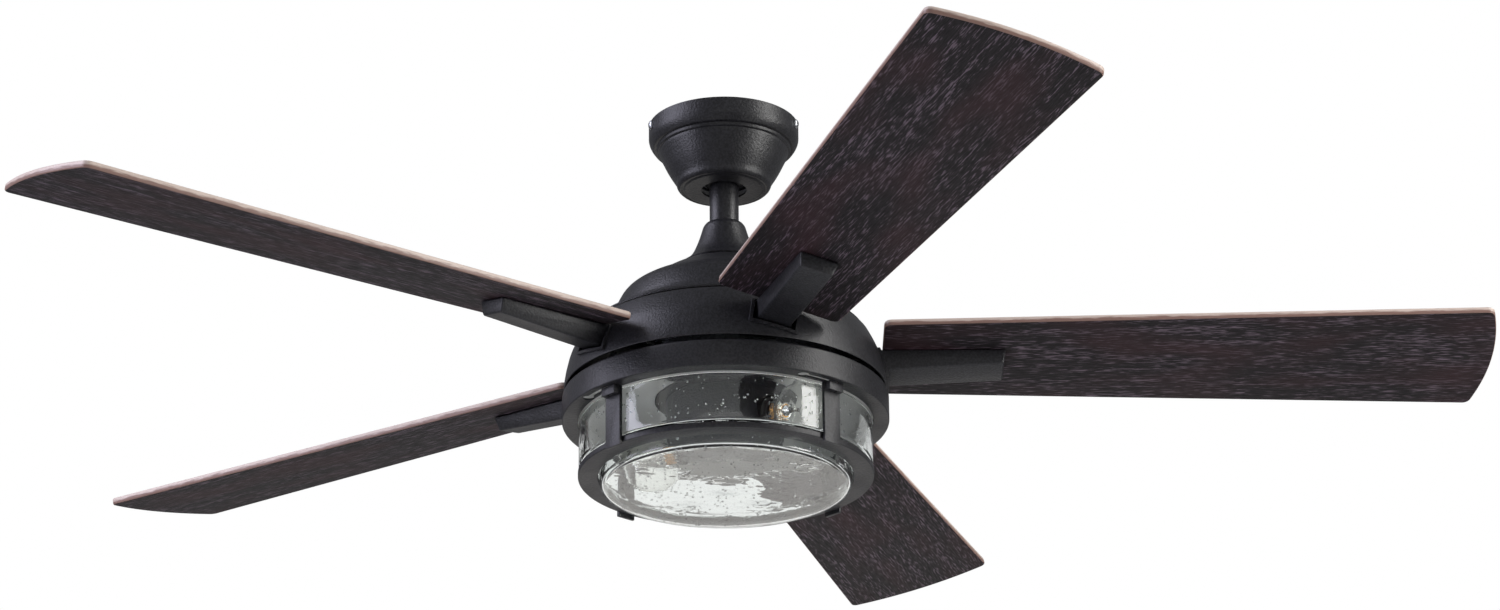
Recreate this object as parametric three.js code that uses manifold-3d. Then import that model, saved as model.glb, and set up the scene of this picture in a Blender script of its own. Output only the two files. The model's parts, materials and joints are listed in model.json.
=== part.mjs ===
// A five-blade ceiling fan with a caged glass light.
// Millimetres, +Z up. The origin is the middle of the hanging bracket's flat top, which lies on the ceiling.
// The motor, the blades and the light are drawn in groups whose zero height is the blades' underside at the axis.
import * as THREE from "three";
import { mergeVertices } from "three/addons/utils/BufferGeometryUtils.js";
import Module from "manifold-3d";

const wasm = await Module();
wasm.setup();

// ---------------------------------------------------------------- driving dimensions

const FIT_GAP = 0.3; // between pieces that rest on or fit round each other
const SHEET = 1.5; // sheet metal of the covers

const BLADE_COUNT = 5;
const BLADE_SPAN = 1320.8; // tip to tip: a 52 inch fan
const BLADE_HEIGHT = -219.5; // the blades' underside at the axis, below the ceiling
const BLADE_PITCH = 12; // degrees
const FIRST_BLADE = 0.94; // degrees from +X
const BLADE_ROOT = 134.6;
const BLADE_ROOT_WIDTH = 108;
const BLADE_TIP_WIDTH = 142;
const BLADE_TIP_BOW = 9; // how far the tip's arc stands beyond its corners
const BLADE_THICKNESS = 6;

const ARM_END = 240;
const ARM_TOP_WIDTH = 34.6;
const ARM_BOTTOM_WIDTH = 28;
const ARM_ROOT_DEPTH = 19;
const ARM_END_DEPTH = 12.5;

const CANOPY_RADIUS = 65.7;
const CANOPY_DEPTH = 60;
const CANOPY_HOLE_RADIUS = 19.7;
const CANOPY_SCREW_HEIGHT = -5.5;
const CANOPY_SCREW_ANGLES = [17, 163, 197, 343];

const ROD_RADIUS = 12.7;
const ROD_BORE_RADIUS = 11;
const BALL_RADIUS = 27;
const BALL_HEIGHT = -33;
const ROD_TOP = -13;
const ROD_BOTTOM = 80.5; // above the blade plane
const PIN_RADIUS = 3;

const SHAFT_RADIUS = 8;
const SHAFT_BORE_RADIUS = 5;
const BEARING_RADIUS = 16.1;
const STATOR_RADIUS = 62;
const ROTOR_CASE_RADIUS = 84;

const PAN_RADIUS = 139.6;
const PAN_TOP = -35;
const PAN_BOTTOM = -58.2;
const PAN_LEDGE_RADIUS = 126; // inner edge of the ledge under the pan

const GLASS_DRUM_RADIUS = 125.2;
const GLASS_BOWL_RADIUS = 107.2;
const GLASS_WALL = 3.5;
const GLASS_SHOULDER = -102.3;
const GLASS_BOTTOM = -117;

const CAGE_RING_TOP = -102.7;
const CAGE_RING_THICKNESS = 4.9;
const STRAP_ANGLES = [43.5, 133.5, 223.5, 313.5];
const STRAP_INNER = 126;
const STRAP_THICKNESS = 3;
const STRAP_WIDTH = 18;
const STUD_CIRCLE = 131.4;
const TWIST_ANGLE = 14; // how far the shade turns to come off

const LAMP_ANGLES = [-45, 135];
const LAMP_TILT = 15; // degrees below level
const LAMP_CUP_RADIUS = 50;
const LAMP_AXIS_HEIGHT = -60; // where a lamp's axis meets the cup's wall
const BULB_RADIUS = 24;
const BULB_FOOT = 72; // where a bulb's glass meets its base, along the lamp's axis

// Facets round a full turn.
const COARSE = 8;
const MEDIUM = 18;
const FINE = 32;

// ---------------------------------------------------------------- finishes

const FINISHES = {
  blackPaint: { color: 0x2f3033, roughness: 0.62, metalness: 0.35 },
  darkPaint: { color: 0x4a4b4f, roughness: 0.55, metalness: 0.35 },
  walnutLaminate: { color: 0x33292c, roughness: 0.6, metalness: 0 },
  zincSteel: { color: 0xb9bcc0, roughness: 0.35, metalness: 1 },
  castAluminium: { color: 0x9a9da1, roughness: 0.5, metalness: 1 },
  bearingSteel: { color: 0xc9cbce, roughness: 0.2, metalness: 1 },
  laminatedSteel: { color: 0x6f7378, roughness: 0.5, metalness: 1 },
  copperWire: { color: 0xb06a3a, roughness: 0.4, metalness: 1 },
  blackNylon: { color: 0x232325, roughness: 0.55, metalness: 0 },
  blackPhenolic: { color: 0x1d1c1b, roughness: 0.45, metalness: 0 },
  brass: { color: 0xc08a4c, roughness: 0.3, metalness: 1 },
  clearGlass: { color: 0xf2f6f5, roughness: 0.05, metalness: 0, transparent: true, opacity: 0.3 },
};

// ---------------------------------------------------------------- helpers

const radians = THREE.MathUtils.degToRad;

function piece(parent, name, geometry, finish) {
  const mesh = new THREE.Mesh(geometry, new THREE.MeshStandardMaterial(FINISHES[finish]));
  mesh.name = name;
  parent.add(mesh);
  return mesh;
}

function toSolid(geometry) {
  const bare = geometry.clone();
  bare.deleteAttribute("normal");
  bare.deleteAttribute("uv");
  const merged = mergeVertices(bare, 1e-4);
  const vertProperties = new Float32Array(merged.attributes.position.array);
  const triVerts = new Uint32Array(merged.index.array);
  return new wasm.Manifold(new wasm.Mesh({ numProp: 3, vertProperties, triVerts }));
}

function toGeometry(solid) {
  const { vertProperties, triVerts } = solid.getMesh();
  const geometry = new THREE.BufferGeometry();
  geometry.setAttribute("position", new THREE.BufferAttribute(vertProperties, 3));
  geometry.setIndex(new THREE.BufferAttribute(triVerts, 1));
  return geometry;
}

function cut(geometry, tools) {
  return toGeometry(tools.reduce((solid, tool) => solid.subtract(toSolid(tool)), toSolid(geometry)));
}

function join(geometries) {
  const [first, ...others] = geometries.map(toSolid);
  return toGeometry(others.reduce((solid, other) => solid.add(other), first));
}

function common(geometry, other) {
  return toGeometry(toSolid(geometry).intersect(toSolid(other)));
}

// A solid of revolution about Z from [radius, height] points, which may run round either way.
function turned(points, facets) {
  const profile = points.map(([radius, height]) => new THREE.Vector2(radius, height));
  if (THREE.ShapeUtils.area(profile) < 0) profile.reverse();
  const onAxis = profile[0].x === 0 && profile[profile.length - 1].x === 0;
  if (!onAxis) profile.push(profile[0].clone());
  return new THREE.LatheGeometry(profile, facets).rotateX(Math.PI / 2);
}

// The closed section of a sheet that lies inside an outline drawn from its top down and inwards.
function sheetSection(outline, thickness) {
  const points = outline.map(([radius, height]) => new THREE.Vector2(radius, height));
  const inside = (from, to) => {
    const along = to.clone().sub(from).normalize();
    return new THREE.Vector2(along.y, -along.x);
  };
  const offset = points.map((point, i) => {
    const before = i > 0 ? inside(points[i - 1], point) : inside(point, points[i + 1]);
    const after = i < points.length - 1 ? inside(point, points[i + 1]) : before;
    const mitre = before.clone().add(after).normalize();
    return point.clone().addScaledVector(mitre, thickness / mitre.dot(before));
  });
  return [...points, ...offset.reverse()].map((point) => [point.x, point.y]);
}

// Points on an arc in the section plane, from one angle to another.
function arc(centre, radius, fromDegrees, toDegrees, steps) {
  return Array.from({ length: steps + 1 }, (_, i) => {
    const angle = radians(fromDegrees + ((toDegrees - fromDegrees) * i) / steps);
    return [centre[0] + radius * Math.cos(angle), centre[1] + radius * Math.sin(angle)];
  });
}

// A box given by its lowest and highest corners.
function block(low, high) {
  const size = high.map((value, i) => value - low[i]);
  const centre = high.map((value, i) => (value + low[i]) / 2);
  return new THREE.BoxGeometry(...size).translate(...centre);
}

function rodAlong(axis, radius, length, facets) {
  const rod = new THREE.CylinderGeometry(radius, radius, length, facets);
  if (axis === "x") return rod.rotateZ(Math.PI / 2);
  return axis === "z" ? rod.rotateX(Math.PI / 2) : rod;
}

// Moves a geometry drawn along Z from a centre line out to a radius and a height, pointing outwards.
function pointOutwards(geometry, degrees, height, tilt = 0) {
  return geometry
    .rotateY(Math.PI / 2 + radians(tilt))
    .translate(0, 0, height)
    .rotateZ(radians(degrees));
}

// ---------------------------------------------------------------- hanging hardware

function ceilingBracket() {
  const halfWidth = 22;
  const plateThickness = 2.5;
  const earRadius = 63.7;
  const plate = common(
    block([-62, -halfWidth, -plateThickness], [62, halfWidth, 0]),
    rodAlong("z", earRadius, 20, FINE),
  );
  const earRing = turned(
    [[earRadius - 2.5, 0], [earRadius, 0], [earRadius, -13], [earRadius - 2.5, -13]],
    FINE,
  );
  const ears = [-1, 1].map((side) =>
    common(earRing.clone(), block([55, -24, -14], [70, 24, 1]).rotateZ(side > 0 ? 0 : Math.PI)),
  );
  const seatInner = BALL_RADIUS + 0.6;
  const seatOuter = seatInner + 3;
  const seatAngles = (radius) => [6, 20].map((depth) => -THREE.MathUtils.radToDeg(Math.asin(depth / radius)));
  const [outerTop, outerBottom] = seatAngles(seatOuter);
  const [innerTop, innerBottom] = seatAngles(seatInner);
  const seat = turned(
    [
      ...arc([0, BALL_HEIGHT], seatOuter, outerTop, outerBottom, 2),
      ...arc([0, BALL_HEIGHT], seatInner, innerBottom, innerTop, 2),
    ],
    MEDIUM,
  );
  const legs = [-1, 1].map((side) =>
    block([27.9, -11, BALL_HEIGHT - 9], [31.2, 11, -1]).rotateZ(side > 0 ? 0 : Math.PI),
  );
  const rodSlot = block([-14, -40, -60], [14, 0, BALL_HEIGHT]);
  const boxScrewSpacing = 88.9;
  const boxScrewSlots = [-1, 1].map((side) =>
    block([-5, -2.8, -5], [5, 2.8, 5]).translate((side * boxScrewSpacing) / 2, 0, 0),
  );
  const wireHoles = [-1, 1].map((side) => rodAlong("z", 5, 10, COARSE).translate(side * 14, 0, 0));
  const screwHoles = CANOPY_SCREW_ANGLES.map((angle) =>
    pointOutwards(rodAlong("z", 2.4, 30, COARSE).translate(0, 0, 62), angle, CANOPY_SCREW_HEIGHT),
  );
  const body = join([plate, ...ears, seat, ...legs]);
  return cut(body, [rodSlot, ...boxScrewSlots, ...wireHoles, ...screwHoles]);
}

function canopy() {
  const outline = [
    [CANOPY_RADIUS, -0.5],
    [CANOPY_RADIUS, -16.5],
    [64, -20.5],
    [58.4, -26.5],
    [58.6, -29],
    [50.7, -42.1],
    [41.6, -56.6],
    [38.6, -59.2],
    [36.2, -58.4],
    [34, -CANOPY_DEPTH],
    [CANOPY_HOLE_RADIUS, -CANOPY_DEPTH],
  ];
  const holes = CANOPY_SCREW_ANGLES.map((angle) =>
    pointOutwards(rodAlong("z", 2.6, 20, COARSE).translate(0, 0, 66), angle, CANOPY_SCREW_HEIGHT),
  );
  return cut(turned(sheetSection(outline, SHEET), FINE), holes);
}

// A dome-headed machine screw with its head outside the canopy's wall.
function canopyScrew(degrees) {
  const headBase = CANOPY_RADIUS + FIT_GAP;
  const section = [
    [0, headBase - 8],
    [2, headBase - 8],
    [2, headBase],
    [4.2, headBase],
    [3.9, headBase + 1.3],
    [2.4, headBase + 2.3],
    [0, headBase + 2.6],
  ];
  return pointOutwards(turned(section, COARSE), degrees, CANOPY_SCREW_HEIGHT);
}

function hangerBall() {
  const bore = ROD_RADIUS + FIT_GAP;
  const topHeight = 18;
  const topAngle = THREE.MathUtils.radToDeg(Math.asin(topHeight / BALL_RADIUS));
  const bottomAngle = -THREE.MathUtils.radToDeg(Math.acos(bore / BALL_RADIUS));
  const section = [[bore, topHeight], ...arc([0, 0], BALL_RADIUS, topAngle, bottomAngle, 6)];
  const ball = turned(section, MEDIUM);
  const pinHole = rodAlong("y", PIN_RADIUS + FIT_GAP, 3 * BALL_RADIUS, COARSE);
  return cut(ball, [pinHole]).translate(0, 0, BALL_HEIGHT);
}

function downrod() {
  const bottom = BLADE_HEIGHT + ROD_BOTTOM;
  const tube = turned(
    [[ROD_BORE_RADIUS, bottom], [ROD_RADIUS, bottom], [ROD_RADIUS, ROD_TOP], [ROD_BORE_RADIUS, ROD_TOP]],
    MEDIUM,
  );
  const holeRadius = PIN_RADIUS + FIT_GAP;
  return cut(tube, [
    rodAlong("y", holeRadius, 40, COARSE).translate(0, 0, BALL_HEIGHT),
    rodAlong("x", holeRadius, 40, COARSE).translate(0, 0, BLADE_HEIGHT + COUPLER_PIN_HEIGHT),
  ]);
}

// ---------------------------------------------------------------- motor coupling and covers

const COUPLER_PIN_HEIGHT = 99;
const SET_SCREW_HEIGHT = 89;
const COUPLER_RADIUS = 16.8;

function motorCoupler() {
  const rodBore = ROD_RADIUS + FIT_GAP;
  const shaftBore = SHAFT_RADIUS + FIT_GAP;
  const body = turned(
    [
      [rodBore, 108],
      [COUPLER_RADIUS, 108],
      [COUPLER_RADIUS, 82.6],
      [36, 82.6],
      [36, 79],
      [20, 77],
      [20, 58],
      [shaftBore, 58],
      [shaftBore, 76],
      [ROD_BORE_RADIUS, 79],
      [rodBore, 80],
    ],
    MEDIUM,
  );
  return cut(body, [
    rodAlong("x", PIN_RADIUS + FIT_GAP, 50, COARSE).translate(0, 0, COUPLER_PIN_HEIGHT),
    rodAlong("y", 2.6, 50, COARSE).translate(0, 0, SET_SCREW_HEIGHT),
  ]);
}

function couplerPin() {
  const section = [
    [0, -21],
    [PIN_RADIUS, -21],
    [PIN_RADIUS, COUPLER_RADIUS + FIT_GAP],
    [4.6, COUPLER_RADIUS + FIT_GAP],
    [4.6, COUPLER_RADIUS + 2.2],
    [0, COUPLER_RADIUS + 2.2],
  ];
  const pin = turned(section, COARSE).rotateY(Math.PI / 2);
  const clipHole = rodAlong("z", 1.2, 10, 8).translate(-COUPLER_RADIUS - 2.2, 0, 0);
  return cut(pin, [clipHole]).translate(0, 0, COUPLER_PIN_HEIGHT);
}

// The hairpin that keeps the coupler's pin from sliding out: one leg through the pin, one sprung over it.
function couplerClip() {
  const route = new THREE.CatmullRomCurve3(
    [[-9, 0], [0, 0], [8, 0], [11, 2.4], [8, 4.6], [0, 4.1], [-5, 5], [-9, 6.2]].map(
      ([along, across]) => new THREE.Vector3(0, across, along),
    ),
  );
  const wire = new THREE.Shape().absarc(0, 0, 0.8, 0, 2 * Math.PI);
  const clip = new THREE.ExtrudeGeometry(wire, { extrudePath: route, steps: 16, curveSegments: 3 });
  return clip.translate(-COUPLER_RADIUS - 2.2, 0, COUPLER_PIN_HEIGHT);
}

function setScrew(side) {
  const screw = rodAlong("y", 2.2, 6.5, COARSE);
  return screw.translate(0, side * (ROD_RADIUS + FIT_GAP + 3.25), SET_SCREW_HEIGHT);
}

function yokeCover() {
  const outline = [
    [14.4, 126.4],
    [16.2, 126.2],
    [18.4, 123.4],
    [21.4, 113],
    [24.7, 104],
    [28.3, 96.4],
    [33.5, 90.4],
    [39.6, 86.1],
  ];
  return turned(sheetSection(outline, SHEET), MEDIUM);
}

function upperHousing() {
  const outline = [
    [24, 84.5],
    [40.5, 84.3],
    [52.7, 78],
    [64.9, 70],
    [83, 60.4],
    [88.6, 55.8],
    [92.4, 49],
    [96.3, 40],
    [98.6, 33.2],
    [102.9, 28],
    [111.3, 24],
    [120.7, 21.3],
  ];
  return turned(sheetSection(outline, SHEET), FINE);
}

// ---------------------------------------------------------------- motor

function motorShaft() {
  const [top, bottom] = [75.5, -46];
  return turned(
    [[SHAFT_BORE_RADIUS, bottom], [SHAFT_RADIUS, bottom], [SHAFT_RADIUS, top], [SHAFT_BORE_RADIUS, top]],
    MEDIUM,
  );
}

function shaftNut() {
  const nut = rodAlong("z", 13, 6, 6);
  return cut(nut, [rodAlong("z", SHAFT_RADIUS + FIT_GAP, 20, MEDIUM)]).translate(0, 0, -40);
}

function bearing(bottom) {
  const bore = SHAFT_RADIUS + FIT_GAP;
  const top = bottom + 10;
  return turned([[bore, bottom], [BEARING_RADIUS, bottom], [BEARING_RADIUS, top], [bore, top]], MEDIUM);
}

function rotorCaseUpper() {
  const hub = BEARING_RADIUS + FIT_GAP;
  return turned(
    [
      [hub, 38],
      [23, 38],
      [26, 34],
      [76, 31],
      [ROTOR_CASE_RADIUS, 24],
      [ROTOR_CASE_RADIUS, 4.2],
      [ROTOR_CASE_RADIUS - 3, 4.2],
      [ROTOR_CASE_RADIUS - 3, 22.6],
      [74.5, 28],
      [22, 31],
      [22, 24],
      [hub, 24],
    ],
    MEDIUM,
  );
}

function rotorCaseLower() {
  const hub = BEARING_RADIUS + FIT_GAP;
  return turned(
    [
      [hub, -26],
      [23, -26],
      [26, -22],
      [74, -19],
      [82, -12],
      [82, -6],
      [100, -6],
      [100, 0],
      [ROTOR_CASE_RADIUS, 0],
      [ROTOR_CASE_RADIUS, 3.9],
      [ROTOR_CASE_RADIUS - 3, 3.9],
      [ROTOR_CASE_RADIUS - 3, -3],
      [78, -11],
      [72, -15],
      [22, -18],
      [22, -12],
      [hub, -12],
    ],
    MEDIUM,
  );
}

// Laminations with open slots round the rim for the windings.
function statorCore() {
  const slotCount = 12;
  const slotDepth = 18;
  const slotHalfAngle = 6;
  const outline = new THREE.Shape();
  for (let slot = 0; slot < slotCount; slot += 1) {
    const middle = (slot * 360) / slotCount;
    const corners = [
      [STATOR_RADIUS, middle - slotHalfAngle],
      [STATOR_RADIUS - slotDepth, middle - slotHalfAngle],
      [STATOR_RADIUS - slotDepth, middle + slotHalfAngle],
      [STATOR_RADIUS, middle + slotHalfAngle],
      [STATOR_RADIUS, middle + 180 / slotCount],
    ];
    corners.forEach(([radius, degrees]) => {
      const angle = radians(degrees);
      outline.lineTo(radius * Math.cos(angle), radius * Math.sin(angle));
    });
  }
  outline.curves.shift();
  outline.closePath();
  const bore = new THREE.Path().absarc(0, 0, SHAFT_RADIUS + FIT_GAP, 0, 2 * Math.PI, true);
  outline.holes.push(bore);
  const core = new THREE.ExtrudeGeometry(outline, { depth: 22, bevelEnabled: false, curveSegments: 10 });
  return core.translate(0, 0, -3);
}

function winding(bottom) {
  return turned([[36, bottom + 1], [40, bottom], [56, bottom], [58, bottom + 2], [58, bottom + 5],
    [55, bottom + 7], [40, bottom + 7], [36, bottom + 5]], MEDIUM);
}

function rotorRing() {
  const [inner, outer] = [STATOR_RADIUS + 1.2, ROTOR_CASE_RADIUS - 3.4];
  return turned([[inner, -2.6], [outer, -2.6], [outer, 19], [inner, 19]], MEDIUM);
}

// ---------------------------------------------------------------- blades, arms and the band that turns with them

// Places a geometry drawn with X outwards, Y across the blade and Z up on one blade's pitched line.
function onBladeLine(geometry, degrees) {
  return geometry.rotateX(radians(-BLADE_PITCH)).rotateZ(radians(degrees));
}

const ARM_OPENING = { halfWidth: 18.6, top: 0.6, bottom: -20.6 };

function bladeArm(degrees) {
  const top = -FIT_GAP;
  const start = 127;
  const section = (x, depth) => [
    [x, -ARM_TOP_WIDTH / 2, top],
    [x, ARM_TOP_WIDTH / 2, top],
    [x, ARM_BOTTOM_WIDTH / 2, top - depth],
    [x, -ARM_BOTTOM_WIDTH / 2, top - depth],
  ];
  const bar = wedge(section(start, ARM_ROOT_DEPTH), section(ARM_END, ARM_END_DEPTH), 2);
  const bolted = block([85, -16, -11.3], [130, 16, -6.3]);
  return join([onBladeLine(bar, degrees), bolted.rotateZ(radians(degrees))]);
}

// A straight bar between two four-sided sections; the far end's lower edge is drawn back by endSlope.
function wedge(near, far, endSlope) {
  const sloped = far.map(([x, y, z], i) => [i > 1 ? x - endSlope : x, y, z]);
  const corners = [...near, ...sloped].flat();
  const faces = [
    [0, 3, 2, 1],
    [4, 5, 6, 7],
    [0, 1, 5, 4],
    [1, 2, 6, 5],
    [2, 3, 7, 6],
    [3, 0, 4, 7],
  ];
  const bar = new THREE.BufferGeometry();
  bar.setAttribute("position", new THREE.Float32BufferAttribute(corners, 3));
  bar.setIndex(faces.flatMap(([a, b, c, d]) => [a, c, b, a, d, c]));
  return bar;
}

function blade(degrees) {
  const cornerRadius = 6;
  const rootHalf = BLADE_ROOT_WIDTH / 2;
  const tipHalf = BLADE_TIP_WIDTH / 2;
  const tipCorner = BLADE_SPAN / 2 - BLADE_TIP_BOW;
  const outline = new THREE.Shape();
  outline.moveTo(BLADE_ROOT, -rootHalf + cornerRadius);
  outline.quadraticCurveTo(BLADE_ROOT, -rootHalf, BLADE_ROOT + cornerRadius, -rootHalf - 0.2);
  outline.lineTo(tipCorner - cornerRadius, -tipHalf);
  outline.quadraticCurveTo(tipCorner, -tipHalf, tipCorner + 1, -tipHalf + cornerRadius);
  outline.quadraticCurveTo(BLADE_SPAN / 2 + BLADE_TIP_BOW - 1, 0, tipCorner + 1, tipHalf - cornerRadius);
  outline.quadraticCurveTo(tipCorner, tipHalf, tipCorner - cornerRadius, tipHalf);
  outline.lineTo(BLADE_ROOT + cornerRadius, rootHalf + 0.2);
  outline.quadraticCurveTo(BLADE_ROOT, rootHalf, BLADE_ROOT, rootHalf - cornerRadius);
  outline.closePath();
  const plank = new THREE.ExtrudeGeometry(outline, {
    depth: BLADE_THICKNESS,
    bevelEnabled: false,
    curveSegments: 6,
  });
  return onBladeLine(plank, degrees);
}

// The flared band round the motor. It stands on the rotor's flange and has a collared opening for each arm.
function middleHousing() {
  const flare = [
    [121.3, 18.6],
    [124.4, 17],
    [128.9, 8.5],
    [133.5, -2],
    [137.4, -19],
    [138.5, -30.5],
  ];
  const inner = flare.map(([radius, height]) => [radius - SHEET, height]).reverse();
  const webTop = 2.3;
  const webInner = ROTOR_CASE_RADIUS + 2;
  const underWeb = inner.filter(([, height]) => height < FIT_GAP);
  const overWeb = inner.filter(([, height]) => height > webTop);
  const wallAt = (height) => 132.7 - height * 0.44 - SHEET;
  const section = [
    ...flare,
    ...underWeb,
    [wallAt(FIT_GAP), FIT_GAP],
    [webInner, FIT_GAP],
    [webInner, webTop],
    [wallAt(webTop), webTop],
    ...overWeb,
  ];
  const proud = 2.6;
  const collarLimit = turned(
    [[110, 18], ...flare.map(([radius, height]) => [radius + proud, height]), [110, -30.5]],
    FINE,
  );
  const { halfWidth, top, bottom } = ARM_OPENING;
  const openings = bladeAngles().map((degrees) =>
    onBladeLine(block([118, -halfWidth, bottom], [150, halfWidth, top]), degrees),
  );
  const rim = 2.6;
  const collars = bladeAngles().map((degrees) =>
    onBladeLine(block([127, -halfWidth - rim, bottom - rim], [150, halfWidth + rim, -0.6]), degrees),
  );
  const standing = collars.map((collar) => common(collar, collarLimit));
  return cut(join([turned(section, FINE), ...standing]), openings);
}

function bladeAngles() {
  return Array.from({ length: BLADE_COUNT }, (_, i) => FIRST_BLADE - (i * 360) / BLADE_COUNT);
}

// ---------------------------------------------------------------- light

const PAN_SCREW_ANGLES = [30, 150, 270];
const PAN_SCREW_CIRCLE = 44;

function lightPlate() {
  const bore = SHAFT_RADIUS + FIT_GAP;
  const plate = turned([[bore, -33.2], [55, -33.2], [55, -31], [bore, -31]], MEDIUM);
  return cut(plate, panScrewPlaces().map(([x, y]) => rodAlong("z", 2.3, 20, 8).translate(x, y, -32)));
}

function panScrewPlaces() {
  return PAN_SCREW_ANGLES.map((degrees) => {
    const angle = radians(degrees);
    return [PAN_SCREW_CIRCLE * Math.cos(angle), PAN_SCREW_CIRCLE * Math.sin(angle)];
  });
}

function panScrew([x, y]) {
  const head = PAN_TOP - SHEET - FIT_GAP;
  const section = [[0, -31.5], [2, -31.5], [2, head], [3.8, head], [3.2, head - 2], [0, head - 2.2]];
  return turned(section, COARSE).translate(x, y, 0);
}

function lightPan() {
  const bore = SHAFT_RADIUS + FIT_GAP;
  const rim = PAN_RADIUS - SHEET;
  const pan = turned(
    [
      [bore, PAN_TOP],
      [rim, PAN_TOP],
      [PAN_RADIUS, PAN_TOP - SHEET],
      [PAN_RADIUS, PAN_BOTTOM + 1],
      [PAN_RADIUS - 1, PAN_BOTTOM],
      [PAN_LEDGE_RADIUS, PAN_BOTTOM],
      [PAN_LEDGE_RADIUS, PAN_BOTTOM + SHEET],
      [rim, PAN_BOTTOM + SHEET],
      [rim, PAN_TOP - SHEET],
      [bore, PAN_TOP - SHEET],
    ],
    FINE,
  );
  const screwHoles = panScrewPlaces().map(([x, y]) => rodAlong("z", 2.4, 20, 8).translate(x, y, PAN_TOP));
  return cut(pan, [...screwHoles, ...STRAP_ANGLES.flatMap(keyhole)]);
}

// The ledge's slot for one of the shade's studs, narrow where the stud locks and wide where its head passes.
function keyhole(degrees) {
  const half = 2.5;
  const wide = 5;
  const from = radians(degrees + 1);
  const to = radians(degrees - TWIST_ANGLE);
  const slot = new THREE.Shape();
  slot.absarc(0, 0, STUD_CIRCLE + half, from, to, true);
  slot.absarc(0, 0, STUD_CIRCLE - half, to, from, false);
  slot.closePath();
  const depth = 10;
  const arcSlot = new THREE.ExtrudeGeometry(slot, { depth, bevelEnabled: false, curveSegments: 5 });
  const narrowEnd = rodAlong("z", half, depth, COARSE).translate(
    STUD_CIRCLE * Math.cos(from),
    STUD_CIRCLE * Math.sin(from),
    PAN_BOTTOM,
  );
  const wideEnd = rodAlong("z", wide, depth, COARSE).translate(
    STUD_CIRCLE * Math.cos(to),
    STUD_CIRCLE * Math.sin(to),
    PAN_BOTTOM,
  );
  return [arcSlot.translate(0, 0, PAN_BOTTOM - depth / 2), narrowEnd, wideEnd];
}

// The cup under the pan that carries the two lampholders.
function lampBracket() {
  const top = PAN_TOP - SHEET - FIT_GAP;
  const bottom = -73.5;
  const inner = LAMP_CUP_RADIUS - SHEET;
  const cup = turned(
    [
      [0, bottom],
      [LAMP_CUP_RADIUS - 2, bottom],
      [LAMP_CUP_RADIUS, bottom + 2],
      [LAMP_CUP_RADIUS, top - SHEET],
      [60, top - SHEET],
      [60, top],
      [inner, top],
      [inner, bottom + 2.5],
      [inner - 1, bottom + SHEET],
      [0, bottom + SHEET],
    ],
    MEDIUM,
  );
  const sockets = LAMP_ANGLES.map((degrees) =>
    alongLamp(rodAlong("z", 11.6, 30, MEDIUM).translate(0, 0, LAMP_CUP_RADIUS), degrees),
  );
  return cut(cup, sockets);
}

// Places a geometry drawn along Z, at its distance from the fan's axis, on a lamp's sloping axis.
function alongLamp(geometry, degrees) {
  return geometry
    .translate(0, 0, -LAMP_CUP_RADIUS)
    .rotateY(Math.PI / 2 + radians(LAMP_TILT))
    .translate(LAMP_CUP_RADIUS, 0, LAMP_AXIS_HEIGHT)
    .rotateZ(radians(degrees));
}

function lampSocket(degrees) {
  const section = [
    [0, 36],
    [11, 36],
    [11, 54.2],
    [13, 54.2],
    [13, 56],
    [9, 57],
    [9, 59],
    [7.2, 59],
    [7.2, 46],
    [0, 46],
  ];
  return alongLamp(turned(section, MEDIUM), degrees);
}

function bulbBase(degrees) {
  const section = [[0, 46.5], [3, 46.5], [6, 50], [6, BULB_FOOT], [0, BULB_FOOT]];
  return alongLamp(turned(section, COARSE), degrees);
}

function bulbGlass(degrees) {
  const centre = 92;
  const wallThickness = 1;
  const neck = 6;
  const foot = BULB_FOOT + FIT_GAP;
  const outer = arc([0, centre], BULB_RADIUS, -62, 90, 6);
  const inner = arc([0, centre], BULB_RADIUS - wallThickness, 90, -62, 6);
  outer[outer.length - 1][0] = 0;
  inner[0][0] = 0;
  const section = [...inner, [neck - wallThickness, foot], [neck, foot], ...outer];
  return alongLamp(turned(section, MEDIUM), degrees);
}

function glassShade() {
  const top = PAN_BOTTOM - 0.7;
  const drumInner = GLASS_DRUM_RADIUS - GLASS_WALL;
  const bowlInner = GLASS_BOWL_RADIUS - GLASS_WALL;
  const corner = 5;
  const inside = corner - GLASS_WALL;
  return turned(
    [
      [0, GLASS_BOTTOM],
      ...arc([GLASS_BOWL_RADIUS - corner, GLASS_BOTTOM + corner], corner, -90, 0, 3),
      [GLASS_BOWL_RADIUS, GLASS_SHOULDER],
      ...arc([GLASS_DRUM_RADIUS - corner, GLASS_SHOULDER + corner], corner, -90, 0, 3),
      [GLASS_DRUM_RADIUS, top],
      [drumInner, top],
      ...arc([drumInner - inside, GLASS_SHOULDER + corner], inside, 0, -90, 2),
      [bowlInner, GLASS_SHOULDER + GLASS_WALL],
      ...arc([bowlInner - inside, GLASS_BOTTOM + corner], inside, 0, -90, 2),
      [0, GLASS_BOTTOM + GLASS_WALL],
    ],
    FINE,
  );
}

function cageRing() {
  const bottom = CAGE_RING_TOP - CAGE_RING_THICKNESS;
  const [inner, outer] = [108.5, STRAP_INNER - 0.4];
  return turned([[inner, bottom], [outer, bottom], [outer, CAGE_RING_TOP], [inner, CAGE_RING_TOP]], FINE);
}

// A flat strap with a thick foot at its top that bears on the pan's ledge.
function cageStrap(degrees) {
  const top = PAN_BOTTOM - FIT_GAP;
  const strap = block(
    [STRAP_INNER, -STRAP_WIDTH / 2, -110.5],
    [STRAP_INNER + STRAP_THICKNESS, STRAP_WIDTH / 2, top],
  );
  const foot = block([STRAP_INNER, -8, top - 7.5], [134.5, 8, top]);
  const studHole = rodAlong("z", 1.8 + FIT_GAP, 30, COARSE).translate(STUD_CIRCLE, 0, top);
  return cut(join([strap, foot]), [studHole]).rotateZ(radians(degrees));
}

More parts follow.
